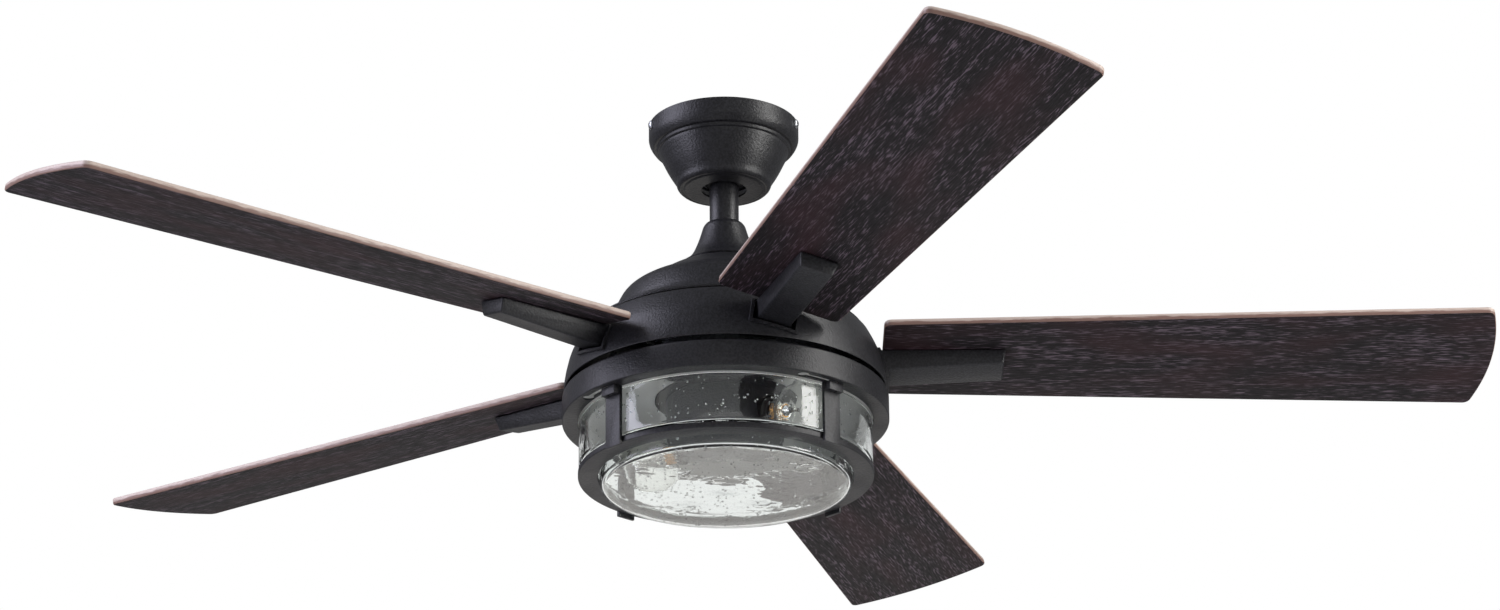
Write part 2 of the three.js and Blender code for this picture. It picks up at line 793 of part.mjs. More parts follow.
// A headed stud that stands up from the foot, through the ledge's keyhole.
function cageStud(degrees) {
  const underHead = PAN_BOTTOM + SHEET + FIT_GAP;
  const section = [
    [0, PAN_BOTTOM - 7],
    [1.8, PAN_BOTTOM - 7],
    [1.8, underHead],
    [4.2, underHead],
    [4.2, underHead + 1.6],
    [0, underHead + 2.4],
  ];
  return turned(section, COARSE).translate(STUD_CIRCLE, 0, 0).rotateZ(radians(degrees));
}

// ---------------------------------------------------------------- assembly

const fan = new THREE.Group();

function addHangingHardware() {
  piece(fan, "ceiling_bracket", ceilingBracket(), "zincSteel");
  piece(fan, "canopy", canopy(), "blackPaint");
  CANOPY_SCREW_ANGLES.forEach((angle, i) => {
    piece(fan, `canopy_screw_${i + 1}`, canopyScrew(angle), "zincSteel");
  });
  piece(fan, "hanger_ball", hangerBall(), "blackNylon");
  piece(fan, "ball_pin", rodAlong("y", PIN_RADIUS, 50, COARSE).translate(0, 0, BALL_HEIGHT), "zincSteel");
  piece(fan, "downrod", downrod(), "blackPaint");
}

function addMotor(group) {
  piece(group, "motor_coupler", motorCoupler(), "castAluminium");
  piece(group, "coupler_pin", couplerPin(), "zincSteel");
  piece(group, "coupler_clip", couplerClip(), "zincSteel");
  piece(group, "coupler_set_screw_1", setScrew(1), "zincSteel");
  piece(group, "coupler_set_screw_2", setScrew(-1), "zincSteel");
  piece(group, "yoke_cover", yokeCover(), "blackPaint");
  piece(group, "upper_housing", upperHousing(), "blackPaint");
  piece(group, "motor_shaft", motorShaft(), "bearingSteel");
  piece(group, "shaft_nut", shaftNut(), "zincSteel");
  piece(group, "stator_core", statorCore(), "laminatedSteel");
  piece(group, "upper_winding", winding(19.4), "copperWire");
  piece(group, "lower_winding", winding(-10.4), "copperWire");
}

function addRotor(group) {
  piece(group, "upper_bearing", bearing(25), "bearingSteel");
  piece(group, "lower_bearing", bearing(-23), "bearingSteel");
  piece(group, "rotor_case_upper", rotorCaseUpper(), "castAluminium");
  piece(group, "rotor_case_lower", rotorCaseLower(), "castAluminium");
  piece(group, "rotor_ring", rotorRing(), "laminatedSteel");
  piece(group, "middle_housing", middleHousing(), "blackPaint");
  bladeAngles().forEach((degrees, i) => {
    piece(group, `blade_arm_${i + 1}`, bladeArm(degrees), "blackPaint");
    piece(group, `blade_${i + 1}`, blade(degrees), "walnutLaminate");
  });
}

function addLight(group) {
  piece(group, "light_plate", lightPlate(), "zincSteel");
  panScrewPlaces().forEach((place, i) => piece(group, `pan_screw_${i + 1}`, panScrew(place), "zincSteel"));
  piece(group, "light_pan", lightPan(), "blackPaint");
  piece(group, "lamp_bracket", lampBracket(), "darkPaint");
  LAMP_ANGLES.forEach((degrees, i) => {
    piece(group, `lamp_socket_${i + 1}`, lampSocket(degrees), "blackPhenolic");
    piece(group, `bulb_base_${i + 1}`, bulbBase(degrees), "brass");
    piece(group, `bulb_glass_${i + 1}`, bulbGlass(degrees), "clearGlass");
  });
}

function addShade(group) {
  piece(group, "glass_shade", glassShade(), "clearGlass");
  piece(group, "cage_ring", cageRing(), "blackPaint");
  STRAP_ANGLES.forEach((degrees, i) => {
    piece(group, `cage_strap_${i + 1}`, cageStrap(degrees), "blackPaint");
    piece(group, `cage_stud_${i + 1}`, cageStud(degrees), "zincSteel");
  });
}

const body = new THREE.Group();
body.position.z = BLADE_HEIGHT;
fan.add(body);

addHangingHardware();
addMotor(body);
addRotor(body);
addLight(body);
addShade(body);

export default fan;
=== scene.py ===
"""A five-blade ceiling fan with a caged, seeded glass light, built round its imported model.

Everything is in metres in the model's own frame: +Z up, the origin on the ceiling over the downrod.
Outlines are written in millimetres, and those below the canopy are measured from the blades' plane.
"""

import json
import math
import random

import bmesh
import bpy
from mathutils import Matrix, Vector, noise


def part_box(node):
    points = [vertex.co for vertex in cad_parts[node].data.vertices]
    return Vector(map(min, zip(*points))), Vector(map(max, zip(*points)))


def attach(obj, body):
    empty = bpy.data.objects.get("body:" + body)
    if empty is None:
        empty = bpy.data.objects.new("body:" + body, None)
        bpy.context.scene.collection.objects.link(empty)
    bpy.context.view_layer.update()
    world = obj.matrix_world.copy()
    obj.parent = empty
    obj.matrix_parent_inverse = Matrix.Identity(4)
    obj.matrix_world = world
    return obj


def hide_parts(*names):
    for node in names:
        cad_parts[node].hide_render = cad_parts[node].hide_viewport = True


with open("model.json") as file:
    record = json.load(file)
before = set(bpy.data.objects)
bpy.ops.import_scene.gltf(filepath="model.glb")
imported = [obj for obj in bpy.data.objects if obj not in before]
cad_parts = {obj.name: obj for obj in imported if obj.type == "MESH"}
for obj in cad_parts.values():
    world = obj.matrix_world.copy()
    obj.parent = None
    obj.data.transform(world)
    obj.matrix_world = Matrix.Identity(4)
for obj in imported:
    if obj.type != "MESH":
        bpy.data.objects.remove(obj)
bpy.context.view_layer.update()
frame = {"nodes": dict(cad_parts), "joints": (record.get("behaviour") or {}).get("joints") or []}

bl_info = {
    "name": "Ceiling Fan with Light",
    "version": (1, 0, 0),
    "blender": (4, 5, 0),
    "location": "View3D > Sidebar > Ceiling Fan",
    "description": "Builds a ceiling fan with a caged glass light, piece by piece",
    "category": "Add Mesh",
}

# ---------------------------------------------------------------- places taken from the model

MM = 0.001
FULL_TURN = 2 * math.pi
JOINTS = {joint["name"]: joint for joint in frame["joints"]}
BLADE_PLANE = JOINTS["fan_spin"]["pos_m"][2]
BALL_CENTRE = JOINTS["ball_tilt"]["pos_m"][2]

BLADE_COUNT = 5
FIRST_BLADE = 0.94  # degrees from +X
BLADE_PITCH = 12  # degrees
SCREW_ANGLES = (17, 163, 197, 343)
SCREW_HEIGHT = -5.5
CANOPY_RADIUS = 65.7
PIN_HOLE_RADIUS = 3.3
STRAP_ANGLES = (43.5, 133.5, 223.5, 313.5)
STUD_CIRCLE = 131.4
PAN_BOTTOM = -58.2
LAMP_ANGLES = (-45, 135)
LAMP_TILT = 15  # degrees below level
LAMP_CUP_RADIUS = 50
LAMP_AXIS_HEIGHT = -60
CLEARANCE = 0.3
MERGE = 1e-6  # metres; points closer than this are one point
BLACK, ZINC = ["black_powder_coat"], ["zinc_plate"]
FLARE = (  # the turning band's outer face, with how far each corner is rounded
    (121.3, 18.6, 0.5),
    (124.4, 17, 1.5),
    (128.9, 8.5, 4),
    (133.5, -2, 4),
    (137.4, -19, 5),
    (138.5, -30.5, 0.6),
)


def linear(code):
    """The linear colour of an sRGB hex value."""
    channels = [int(code[i : i + 2], 16) / 255 for i in (1, 3, 5)]
    return tuple(c / 12.92 if c <= 0.04045 else ((c + 0.055) / 1.055) ** 2.4 for c in channels)


# ---------------------------------------------------------------- settings


def length(name, description, default_mm):
    return bpy.props.FloatProperty(
        name=name, description=description, default=default_mm * MM, min=0, unit="LENGTH", precision=4
    )


def count(name, description, default):
    return bpy.props.IntProperty(name=name, description=description, default=default, min=3)


def colour(name, description, code):
    return bpy.props.FloatVectorProperty(
        name=name, description=description, default=linear(code), min=0, max=1, size=3, subtype="COLOR"
    )


def strength(name, description, default):
    return bpy.props.FloatProperty(name=name, description=description, default=default, min=0)


class FanSizes(bpy.types.PropertyGroup):
    """Sizes that may be changed without moving a fixing."""

    turn_steps: count("Turn Steps", "Facets round the large turned pieces", 144)
    fine_steps: count("Small Turn Steps", "Facets round the small turned pieces", 40)
    sheet: length("Sheet", "Sheet metal of the covers", 1.5)
    blade_thickness: length("Blade Thickness", "Thickness of a blade", 6)
    blade_edge: length("Blade Edge", "Rounding of a blade's edges", 1.3)
    arm_edge: length("Arm Edge", "Rounding of a blade arm's edges", 1.8)
    collar_edge: length("Collar Edge", "Rounding of the collars round the arms", 0.9)
    strap_edge: length("Strap Edge", "Rounding of the cage straps", 0.5)
    thread_pitch: length("Thread Pitch", "Distance between turns of a lamp base's thread", 2.4)
    glass_wave: length("Glass Wave", "Depth of the waves in the shade's surface", 0.35)
    seed_count: count("Seeds", "Bubbles in the shade's glass", 900)
    seed_radius: length("Seed Size", "Radius of a large bubble", 1.15)


class FanColours(bpy.types.PropertyGroup):
    """Colours of the finishes."""

    # The powder coat's one colour, drawn as two: darker in the grains' hollows as painted shade, lighter on
    # their crowns as painted light.
    paint_hollow_shaded: colour("Paint, Dark", "Hollows between the powder coat's grains", "#161619")
    paint_crown_lit: colour("Paint, Light", "Crowns of the powder coat's grains", "#28282c")
    cup_paint: colour("Cup Paint", "Satin paint of the lamp cup", "#3c3c40")
    grain_dark: colour("Grain, Dark", "Pores and dark grain of the laminate", "#0e090c")
    grain_mid: colour("Grain, Middle", "Ground colour of the laminate", "#181216")
    grain_light: colour("Grain, Light", "Light streaks of the laminate", "#6a5c67")
    grain_red: colour("Grain, Red", "Reddish patches of the laminate", "#3a2025")
    # The blades' edge band: its brown lower tone holds painted shade, and its cream upper tone is painted
    # light.
    band_shaded_brown: colour("Edge, Brown", "Lower tone of the blades' edge band", "#8f7268")
    band_lit_cream: colour("Edge, Cream", "Upper tone of the blades' edge band", "#dccabf")
    brass: colour("Brass", "Rolled thread of the lamp bases", "#c8913f")
    zinc: colour("Zinc", "Plated screws, studs and bracket", "#c4c7cb")
    glass: colour("Glass", "Tint of the shade", "#f8fbfa")
    floor: colour("Floor", "Floor under the fan", "#e8e8e6")


class FanStage(bpy.types.PropertyGroup):
    """The studio round the fan."""

    floor_drop: length("Floor Drop", "Distance from the ceiling plane to the floor", 2400)
    left_light: strength("Left Light", "Power of the light on the left, in watts", 84)
    right_light: strength("Right Light", "Power of the light on the right, in watts", 92)
    front_light: strength("Front Light", "Power of the light behind the camera, in watts", 7)
    low_lights: strength("Low Lights", "Power of the low lights on both sides, in watts", 20)
    back_light: strength("Back Light", "Power of the light low behind the fan, in watts", 8)
    surroundings: strength("Surroundings", "Brightness that falls on the fan from all round", 0.2)
    backdrop: strength("Backdrop", "Brightness seen behind the fan and through its glass", 1.0)


# ---------------------------------------------------------------- shaping helpers


def round_corner(shape, corner, reach, segments=5):
    """Rounds one corner of a wire outline over a distance along both its sides."""
    bmesh.ops.bevel(
        shape, geom=[corner], offset=reach, offset_type="OFFSET", segments=segments,
        profile=0.5, affect="VERTICES", material=-1, clamp_overlap=True,
    )


def wire_outline(points, closed, share=0.0):
    """A wire from (across, up, reach) points in millimetres, in the XZ plane, with its corners rounded.

    A point without a reach is rounded over a share of its shorter side.
    """
    shape = bmesh.new()
    corners = [shape.verts.new((point[0] * MM, 0, point[1] * MM)) for point in points]
    sides = list(zip(corners, corners[1:]))
    if closed:
        sides.append((corners[-1], corners[0]))
    for side in sides:
        shape.edges.new(side)
    reaches = []
    for point, corner in zip(points, corners):
        shorter = min(edge.calc_length() for edge in corner.link_edges)
        reach = point[2] * MM if len(point) > 2 else share * shorter
        reaches.append(reach if len(corner.link_edges) == 2 else 0)
    for corner, reach in zip(corners, reaches):
        if reach > 0:
            round_corner(shape, corner, reach)
    return shape


def spun(points, steps, wall=0.0, share=0.0, longest=None):
    """A closed solid turned about Z from an outline that runs from its top down and inwards.

    With a wall the outline is a sheet's outer face, and the wall stands inside it. Without one the outline
    ends on the axis or closes on itself. Sides longer than `longest` are divided first.
    """
    on_axis = points[0][0] == 0 and points[-1][0] == 0
    shape = wire_outline(points, closed=not (wall or on_axis), share=share)
    if longest:
        for edge in list(shape.edges):
            cuts = int(edge.calc_length() / longest)
            if cuts:
                bmesh.ops.subdivide_edges(shape, edges=[edge], cuts=cuts)
    bmesh.ops.spin(
        shape, geom=shape.verts[:] + shape.edges[:], cent=(0, 0, 0), axis=(0, 0, 1), dvec=(0, 0, 0),
        angle=FULL_TURN, steps=steps, use_merge=True, use_normal_flip=False, use_duplicate=False,
    )
    bmesh.ops.remove_doubles(shape, verts=shape.verts, dist=MERGE)
    bmesh.ops.recalc_face_normals(shape, faces=shape.faces)
    if wall:
        bmesh.ops.solidify(shape, geom=shape.faces[:], thickness=wall)
    return shape


def brick(low, high):
    """A block given by its lowest and highest corners in millimetres."""
    low, high = Vector(low) * MM, Vector(high) * MM
    shape = bmesh.new()
    place = Matrix.Translation((low + high) / 2) @ Matrix.Diagonal((*(high - low), 1))
    bmesh.ops.create_cube(shape, size=1, matrix=place)
    return shape


def rod(radius, low, high, axis="Z", segments=40):
    """A round bar between two places along an axis, in millimetres."""
    shape = bmesh.new()
    turn = {"X": Matrix.Rotation(math.pi / 2, 4, "Y"), "Y": Matrix.Rotation(-math.pi / 2, 4, "X")}
    place = turn.get(axis, Matrix.Identity(4)) @ Matrix.Translation((0, 0, (low + high) / 2 * MM))
    bmesh.ops.create_cone(
        shape, cap_ends=True, cap_tris=False, segments=segments, radius1=radius * MM, radius2=radius * MM,
        depth=(high - low) * MM, matrix=place,
    )
    return shape


def moved(shape, *matrices):
    """The same shape after one or more placings, the last one first."""
    for matrix in reversed(matrices):
        bmesh.ops.transform(shape, matrix=matrix, verts=shape.verts)
    return shape


def turned(degrees, axis="Z"):
    return Matrix.Rotation(math.radians(degrees), 4, axis)


def shifted(x, y, z):
    return Matrix.Translation(Vector((x, y, z)) * MM)


def temporary(shape):
    mesh = bpy.data.meshes.new("tool")
    shape.to_mesh(mesh)
    shape.free()
    holder = bpy.data.objects.new("tool", mesh)
    bpy.context.scene.collection.objects.link(holder)
    return holder


def combined(base, tools, operation):
    """Joins closed solids to a closed solid, cuts them from it, or keeps what they share."""
    holders = [temporary(shape) for shape in (base, *tools)]
    for tool in holders[1:]:
        change = holders[0].modifiers.new("change", "BOOLEAN")
        change.operation = operation
        change.solver = "EXACT"
        change.object = tool
    outcome = bmesh.new()
    outcome.from_object(holders[0], bpy.context.evaluated_depsgraph_get())
    for holder in holders:
        mesh = holder.data
        bpy.data.objects.remove(holder)
        bpy.data.meshes.remove(mesh)
    bmesh.ops.remove_doubles(outcome, verts=outcome.verts, dist=MERGE)
    return outcome


def gathered(shapes):
    """Several solids in one mesh."""
    together = bmesh.new()
    for shape in shapes:
        mesh = bpy.data.meshes.new("part")
        shape.to_mesh(mesh)
        shape.free()
        together.from_mesh(mesh)
        bpy.data.meshes.remove(mesh)
    return together


def softened(shape, width, segments=3, above=30):
    """Rounds every edge whose faces meet at more than an angle in degrees."""
    edges = [
        edge for edge in shape.edges
        if len(edge.link_faces) == 2 and edge.calc_face_angle(0) > math.radians(above)
    ]
    bmesh.ops.bevel(
        shape, geom=edges, offset=width, offset_type="OFFSET", segments=segments,
        profile=0.5, affect="EDGES", material=-1, clamp_overlap=True,
    )
    return shape


def wire(route, radius):
    """A round wire along points in metres."""
    line = bpy.data.curves.new("wire", "CURVE")
    line.dimensions = "3D"
    line.bevel_depth = radius
    line.bevel_resolution = 2
    line.use_fill_caps = True
    spline = line.splines.new("POLY")
    spline.points.add(len(route) - 1)
    for point, place in zip(spline.points, route):
        point.co = (*place, 1)
    holder = bpy.data.objects.new("wire", line)
    mesh = bpy.data.meshes.new_from_object(holder)
    shape = bmesh.new()
    shape.from_mesh(mesh)
    bpy.data.objects.remove(holder)
    bpy.data.curves.remove(line)
    bpy.data.meshes.remove(mesh)
    bmesh.ops.remove_doubles(shape, verts=shape.verts, dist=1e-7)
    bmesh.ops.recalc_face_normals(shape, faces=shape.faces)
    return shape


def finished(name, shape, body, finishes, replaced=(), height=BLADE_PLANE, crease=35):
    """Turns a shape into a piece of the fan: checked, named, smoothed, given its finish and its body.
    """
    open_edges = sum(1 for edge in shape.edges if len(edge.link_faces) != 2)
    if open_edges or not shape.faces:
        raise RuntimeError(f"{name} isn't closed: {open_edges} edges don't have two faces")
    if shape.calc_volume(signed=True) <= 0:
        raise RuntimeError(f"{name} is inside out")
    moved(shape, Matrix.Translation((0, 0, height)))
    mesh = bpy.data.meshes.new(name)
    shape.to_mesh(mesh)
    shape.free()
    for finish in finishes:
        mesh.materials.append(material_of(finish))
    mesh.shade_smooth()
    mesh.set_sharp_from_angle(angle=math.radians(crease))
    piece = bpy.data.objects.new(name, mesh)
    bpy.context.scene.collection.objects.link(piece)
    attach(piece, body)
    if replaced:
        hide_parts(*replaced)
    return piece


# ---------------------------------------------------------------- finishes


def node(tree, kind, inputs=None, **settings):
    """Adds one node, with its settings, its constant inputs, and links where an input is a socket."""
    added = tree.nodes.new(kind)
    for name, value in settings.items():
        setattr(added, name, value)
    for name, value in (inputs or {}).items():
        if isinstance(value, bpy.types.NodeSocket):
            tree.links.new(value, added.inputs[name])
        else:
            added.inputs[name].default_value = value
    return added


def stops(ramp_node, *pairs):
    """Sets a colour ramp's stops from (place, colour) pairs and returns its colour."""
    ramp = ramp_node.color_ramp
    while len(ramp.elements) < len(pairs):
        ramp.elements.new(0.5)
    for element, (place, shade) in zip(ramp.elements, pairs):
        element.position = place
        element.color = (*shade, 1)
    return ramp_node.outputs["Color"]


def new_material(name, **constants):
    """A material, its tree and its shader, with the constants set on the shader's own sockets."""
    made = bpy.data.materials.new(name)
    made.use_nodes = True
    shader = made.node_tree.nodes["Principled BSDF"]
    for socket, value in constants.items():
        label = {"ior": "IOR"}.get(socket, socket.replace("_", " ").title())
        shader.inputs[label].default_value = (*value, 1) if isinstance(value, tuple) else value
    return made, made.node_tree, shader


def object_noise(tree, grain_mm, detail=3.0, roughness=0.5, stretch=(1, 1, 1)):
    """Noise whose grains are a size in millimetres, in the piece's own coordinates."""
    place = node(tree, "ShaderNodeTexCoord").outputs["Object"]
    scale = node(tree, "ShaderNodeMapping", {"Vector": place, "Scale": stretch}).outputs["Vector"]
    grain = node(
        tree, "ShaderNodeTexNoise",
        {"Vector": scale, "Scale": 1 / (grain_mm * MM), "Detail": detail, "Roughness": roughness},
    )
    return grain.outputs["Fac"]


def ranged(tree, value, low, high, from_low=0.3, from_high=0.7):
    """A value spread over a new range."""
    spread = node(
        tree, "ShaderNodeMapRange",
        {"Value": value, "From Min": from_low, "From Max": from_high, "To Min": low, "To Max": high},
    )
    return spread.outputs["Result"]


def bumped(tree, shader, height, depth_mm, amount=1.0):
    """Raises the surface by a height pattern of a depth in millimetres."""
    bump = node(tree, "ShaderNodeBump", {"Height": height, "Strength": amount, "Distance": depth_mm * MM})
    tree.links.new(bump.outputs["Normal"], shader.inputs["Normal"])


def powder_coat(name, dark, light, rough):
    """Powder coat, baked on steel: an even orange peel that breaks highlights into a fine sparkle.

    The real grains are about 0.4 mm; they are drawn at 1.8 mm so that they show from three metres. Their
    hollows take the darker colour as painted shade, and their crowns take the lighter one as painted light.
    """
    made, tree, shader = new_material(name, metallic=0.0, ior=1.5)
    grains = object_noise(tree, 1.8, detail=2)
    ramp = node(tree, "ShaderNodeValToRGB", {"Fac": grains})
    tree.links.new(stops(ramp, (0.38, dark), (0.62, light)), shader.inputs["Base Color"])
    clouds = object_noise(tree, 35, detail=4)
    tree.links.new(ranged(tree, clouds, rough - 0.05, rough + 0.06), shader.inputs["Roughness"])
    bumped(tree, shader, grains, 0.4, 0.8)
    return made


def black_powder_coat():
    colours = bpy.context.scene.fan_colours
    return powder_coat("black powder coat, baked", tuple(colours.paint_hollow_shaded), tuple(colours.paint_crown_lit), 0.4)


def cup_satin_paint():
    colours = bpy.context.scene.fan_colours
    shade = Vector(colours.cup_paint)
    # The one paint colour, copied darker into the grains' hollows as painted shade and lighter onto their
    # crowns as painted light.
    return powder_coat("dark satin paint, sprayed", tuple(shade * 0.85), tuple(shade * 1.15), 0.38)


def wood_grain_laminate():
    """Dark wood-grain film, pressed on fibreboard: matte, with short raised streaks along the blade.

    The streaks are 1.3 mm wide and 13 mm long, over reddish patches 120 mm long and 45 mm wide.
    """
    colours = bpy.context.scene.fan_colours
    made, tree, shader = new_material("wood-grain laminate, pressed", metallic=0.0, ior=1.38)
    along = node(tree, "ShaderNodeUVMap", uv_map="Grain").outputs["UV"]

    def streaks(length_mm, width_mm, detail, distortion=0.0):
        scale = (1 / (length_mm * MM), 1 / (width_mm * MM), 1)
        place = node(tree, "ShaderNodeMapping", {"Vector": along, "Scale": scale}).outputs["Vector"]
        inputs = {"Vector": place, "Scale": 1.0, "Detail": detail, "Distortion": distortion}
        return node(tree, "ShaderNodeTexNoise", inputs).outputs["Fac"]

    fine = streaks(13, 1.3, 3, 0.3)
    broad = streaks(110, 7, 3, 0.6)
    patches = streaks(120, 45, 1)
    grain = node(tree, "ShaderNodeMath", {0: fine, 1: ranged(tree, broad, -0.1, 0.1)}, operation="ADD")
    ramp = node(tree, "ShaderNodeValToRGB", {"Fac": grain.outputs["Value"]})
    wood = stops(
        ramp,
        (0.36, tuple(colours.grain_dark)),
        (0.46, tuple(colours.grain_mid)),
        (0.55, tuple(colours.grain_mid)),
        (0.68, tuple(colours.grain_light)),
    )
    tint = node(
        tree, "ShaderNodeMix",
        {0: ranged(tree, patches, 0, 0.55, 0.45, 0.7), 6: wood, 7: (*colours.grain_red, 1)},
        data_type="RGBA",
    )
    tree.links.new(tint.outputs[2], shader.inputs["Base Color"])
    tree.links.new(ranged(tree, fine, 0.72, 0.55), shader.inputs["Roughness"])
    bumped(tree, shader, grain.outputs["Value"], 0.5, 0.8)
    return made


def blade_edge_band():
    """Edge band, ironed on: a satin film of pinkish brown, darkened along its lower half as painted shade,
    and cream above as painted light.

    The tones meet about 3 mm up the edge, along a line that wavers over 15 mm.
    """
    colours = bpy.context.scene.fan_colours
    made, tree, shader = new_material("edge band, ironed on", metallic=0.0, ior=1.45)
    along = node(tree, "ShaderNodeUVMap", uv_map="Grain").outputs["UV"]
    place = node(tree, "ShaderNodeMapping", {"Vector": along, "Scale": (70, 500, 1)}).outputs["Vector"]
    streak = node(tree, "ShaderNodeTexNoise", {"Vector": place, "Scale": 1.0, "Detail": 3.0}).outputs["Fac"]
    height = node(tree, "ShaderNodeSeparateXYZ", {"Vector": along}).outputs["Y"]
    wavered = node(
        tree, "ShaderNodeMath", {0: height, 1: ranged(tree, streak, -0.9 * MM, 0.9 * MM)}, operation="ADD"
    )
    # How far up the edge the painted light has come: brown with painted shade below, cream painted light
    # above.
    share = ranged(tree, wavered.outputs["Value"], 0, 1, 2.2 * MM, 4 * MM)
    ramp = node(tree, "ShaderNodeValToRGB", {"Fac": share})
    shade = stops(ramp, (0.0, tuple(colours.band_shaded_brown)), (1.0, tuple(colours.band_lit_cream)))
    tree.links.new(shade, shader.inputs["Base Color"])
    tree.links.new(ranged(tree, streak, 0.42, 0.3), shader.inputs["Roughness"])
    return made


def white_enamel():
    """White enamel, baked: the reflector inside the pan, bright and softly glossy, clouded over 40 mm."""
    made, tree, shader = new_material("white enamel, baked", metallic=0.0, ior=1.5)
    clouds = object_noise(tree, 40, detail=2)
    ramp = node(tree, "ShaderNodeValToRGB", {"Fac": clouds})
    shades = stops(ramp, (0.3, linear("#e6e6e2")), (0.7, linear("#f4f4f1")))
    tree.links.new(shades, shader.inputs["Base Color"])
    tree.links.new(ranged(tree, clouds, 0.3, 0.4), shader.inputs["Roughness"])
    return made


def brushed_or_cast(name, shade, rough, grain_mm, depth_mm, stretch=(1, 1, 1), metallic=1.0):
    """A bare surface with a grain: brushed where it is stretched, cast or plated where it isn't."""
    made, tree, shader = new_material(name, metallic=metallic)
    grains = object_noise(tree, grain_mm, detail=4, stretch=stretch)
    ramp = node(tree, "ShaderNodeValToRGB", {"Fac": grains})
    darker = tuple(channel * 0.78 for channel in shade)
    tree.links.new(stops(ramp, (0.35, darker), (0.65, shade)), shader.inputs["Base Color"])
    tree.links.new(ranged(tree, grains, rough - 0.07, rough + 0.07), shader.inputs["Roughness"])
    bumped(tree, shader, grains, depth_mm, 0.6)
    return made


def seeded_glass():
    """Clear seeded glass, blown in a mould: bright edges, slow waves, and trapped bubbles in the mesh.

    The waves are about 14 mm long.
    """
    colours = bpy.context.scene.fan_colours
    made, tree, shader = new_material(
        "clear seeded glass, blown", base_color=tuple(colours.glass), roughness=0.0, ior=1.5,
        transmission_weight=1.0,
    )
    bumped(tree, shader, object_noise(tree, 14, detail=1), 0.25, 0.5)
    return made


def bulb_glass():
    """Clear lamp glass, blown thin: nearly unseen, but for its rim and its highlights. Waves of 30 mm."""
    made, tree, shader = new_material(
        "lamp glass, blown", base_color=(0.98, 0.98, 0.96), roughness=0.0, ior=1.45, transmission_weight=1.0
    )
    bumped(tree, shader, object_noise(tree, 30, detail=1), 0.1, 0.3)
    return made


def pale_floor():
    """Matte painted floor: even and pale, with faint clouds 600 mm across.

    It glows a little where it is looked at, so that it stays pale without lighting the blades from below.
    """
    colours = bpy.context.scene.fan_colours
    made, tree, shader = new_material("floor, painted", roughness=0.8)
    clouds = object_noise(tree, 600, detail=2)
    shade = Vector(colours.floor)
    ramp = node(tree, "ShaderNodeValToRGB", {"Fac": clouds})
    paint = stops(ramp, (0.3, tuple(shade * 0.96)), (0.7, tuple(shade)))
    tree.links.new(paint, shader.inputs["Base Color"])
    tree.links.new(paint, shader.inputs["Emission Color"])
    seen = node(tree, "ShaderNodeLightPath").outputs["Is Camera Ray"]
    tree.links.new(ranged(tree, seen, 0, 0.5, 0, 1), shader.inputs["Emission Strength"])
    return made


def zinc_plate():
    """Zinc plate on steel: bright, cool, with faint spangle 3 mm across."""
    colours = bpy.context.scene.fan_colours
    return brushed_or_cast("zinc plate", tuple(colours.zinc), 0.3, 3, 0.02)


def rolled_brass():
    """Brass, rolled into a thread: warm, with fine rolling marks 1 mm apart."""
    colours = bpy.context.scene.fan_colours
    return brushed_or_cast("brass, rolled", tuple(colours.brass), 0.26, 1, 0.02)


FINISHES = {
    "black_powder_coat": black_powder_coat,
    "cup_satin_paint": cup_satin_paint,
    "white_enamel": white_enamel,
    "laminate": wood_grain_laminate,
    "edge_band": blade_edge_band,
    "zinc_plate": zinc_plate,
    "rolled_brass": rolled_brass,
    "seeded_glass": seeded_glass,
    "bulb_glass": bulb_glass,
    "floor": pale_floor,
    # Die-cast aluminium, left as cast: dull grey with a skin 2 mm in grain.
    "cast_aluminium": lambda: brushed_or_cast("aluminium, die cast", linear("#a3a6aa"), 0.46, 2, 0.08),
    # Bearing steel, ground: mirror-like, with grinding lines 0.8 mm apart round the rings.
    "ground_steel": lambda: brushed_or_cast(
        "bearing steel, ground", linear("#cfd1d4"), 0.2, 8, 0.01, stretch=(1, 1, 10)
    ),
    # Stator laminations, stacked and varnished: dark, with 1 mm layers across Z.
    "laminations": lambda: brushed_or_cast(
        "stator steel, stacked and varnished", linear("#6a6d72"), 0.42, 20, 0.12, stretch=(1, 1, 20)
    ),
    # Enamelled copper wire, wound: glossy brown turns 1 mm apart.
    "copper": lambda: brushed_or_cast(
        "copper wire, enamelled", linear("#b4683a"), 0.3, 10, 0.3, stretch=(1, 1, 10)
    ),
    # Nylon, moulded: black and satin, with a spark-eroded skin 1 mm in grain.
    "nylon": lambda: brushed_or_cast("nylon, moulded", linear("#242426"), 0.5, 1, 0.05, metallic=0.0),
    # Phenolic, pressed: black, with a soft gloss and faint 4 mm flow marks.
    "phenolic": lambda: brushed_or_cast("phenolic, pressed", linear("#201f1e"), 0.34, 4, 0.03, metallic=0.0),
    # Tungsten, drawn and coiled: grey wire with 0.5 mm drawing marks.
    "tungsten": lambda: brushed_or_cast("tungsten, drawn", linear("#8f8d89"), 0.35, 0.5, 0.01),
}
made_finishes = {}


def material_of(finish):
    """The material of a finish, made the first time it is asked for."""
    if finish not in made_finishes:
        made_finishes[finish] = FINISHES[finish]()
    return made_finishes[finish]


# ---------------------------------------------------------------- the fan's pieces


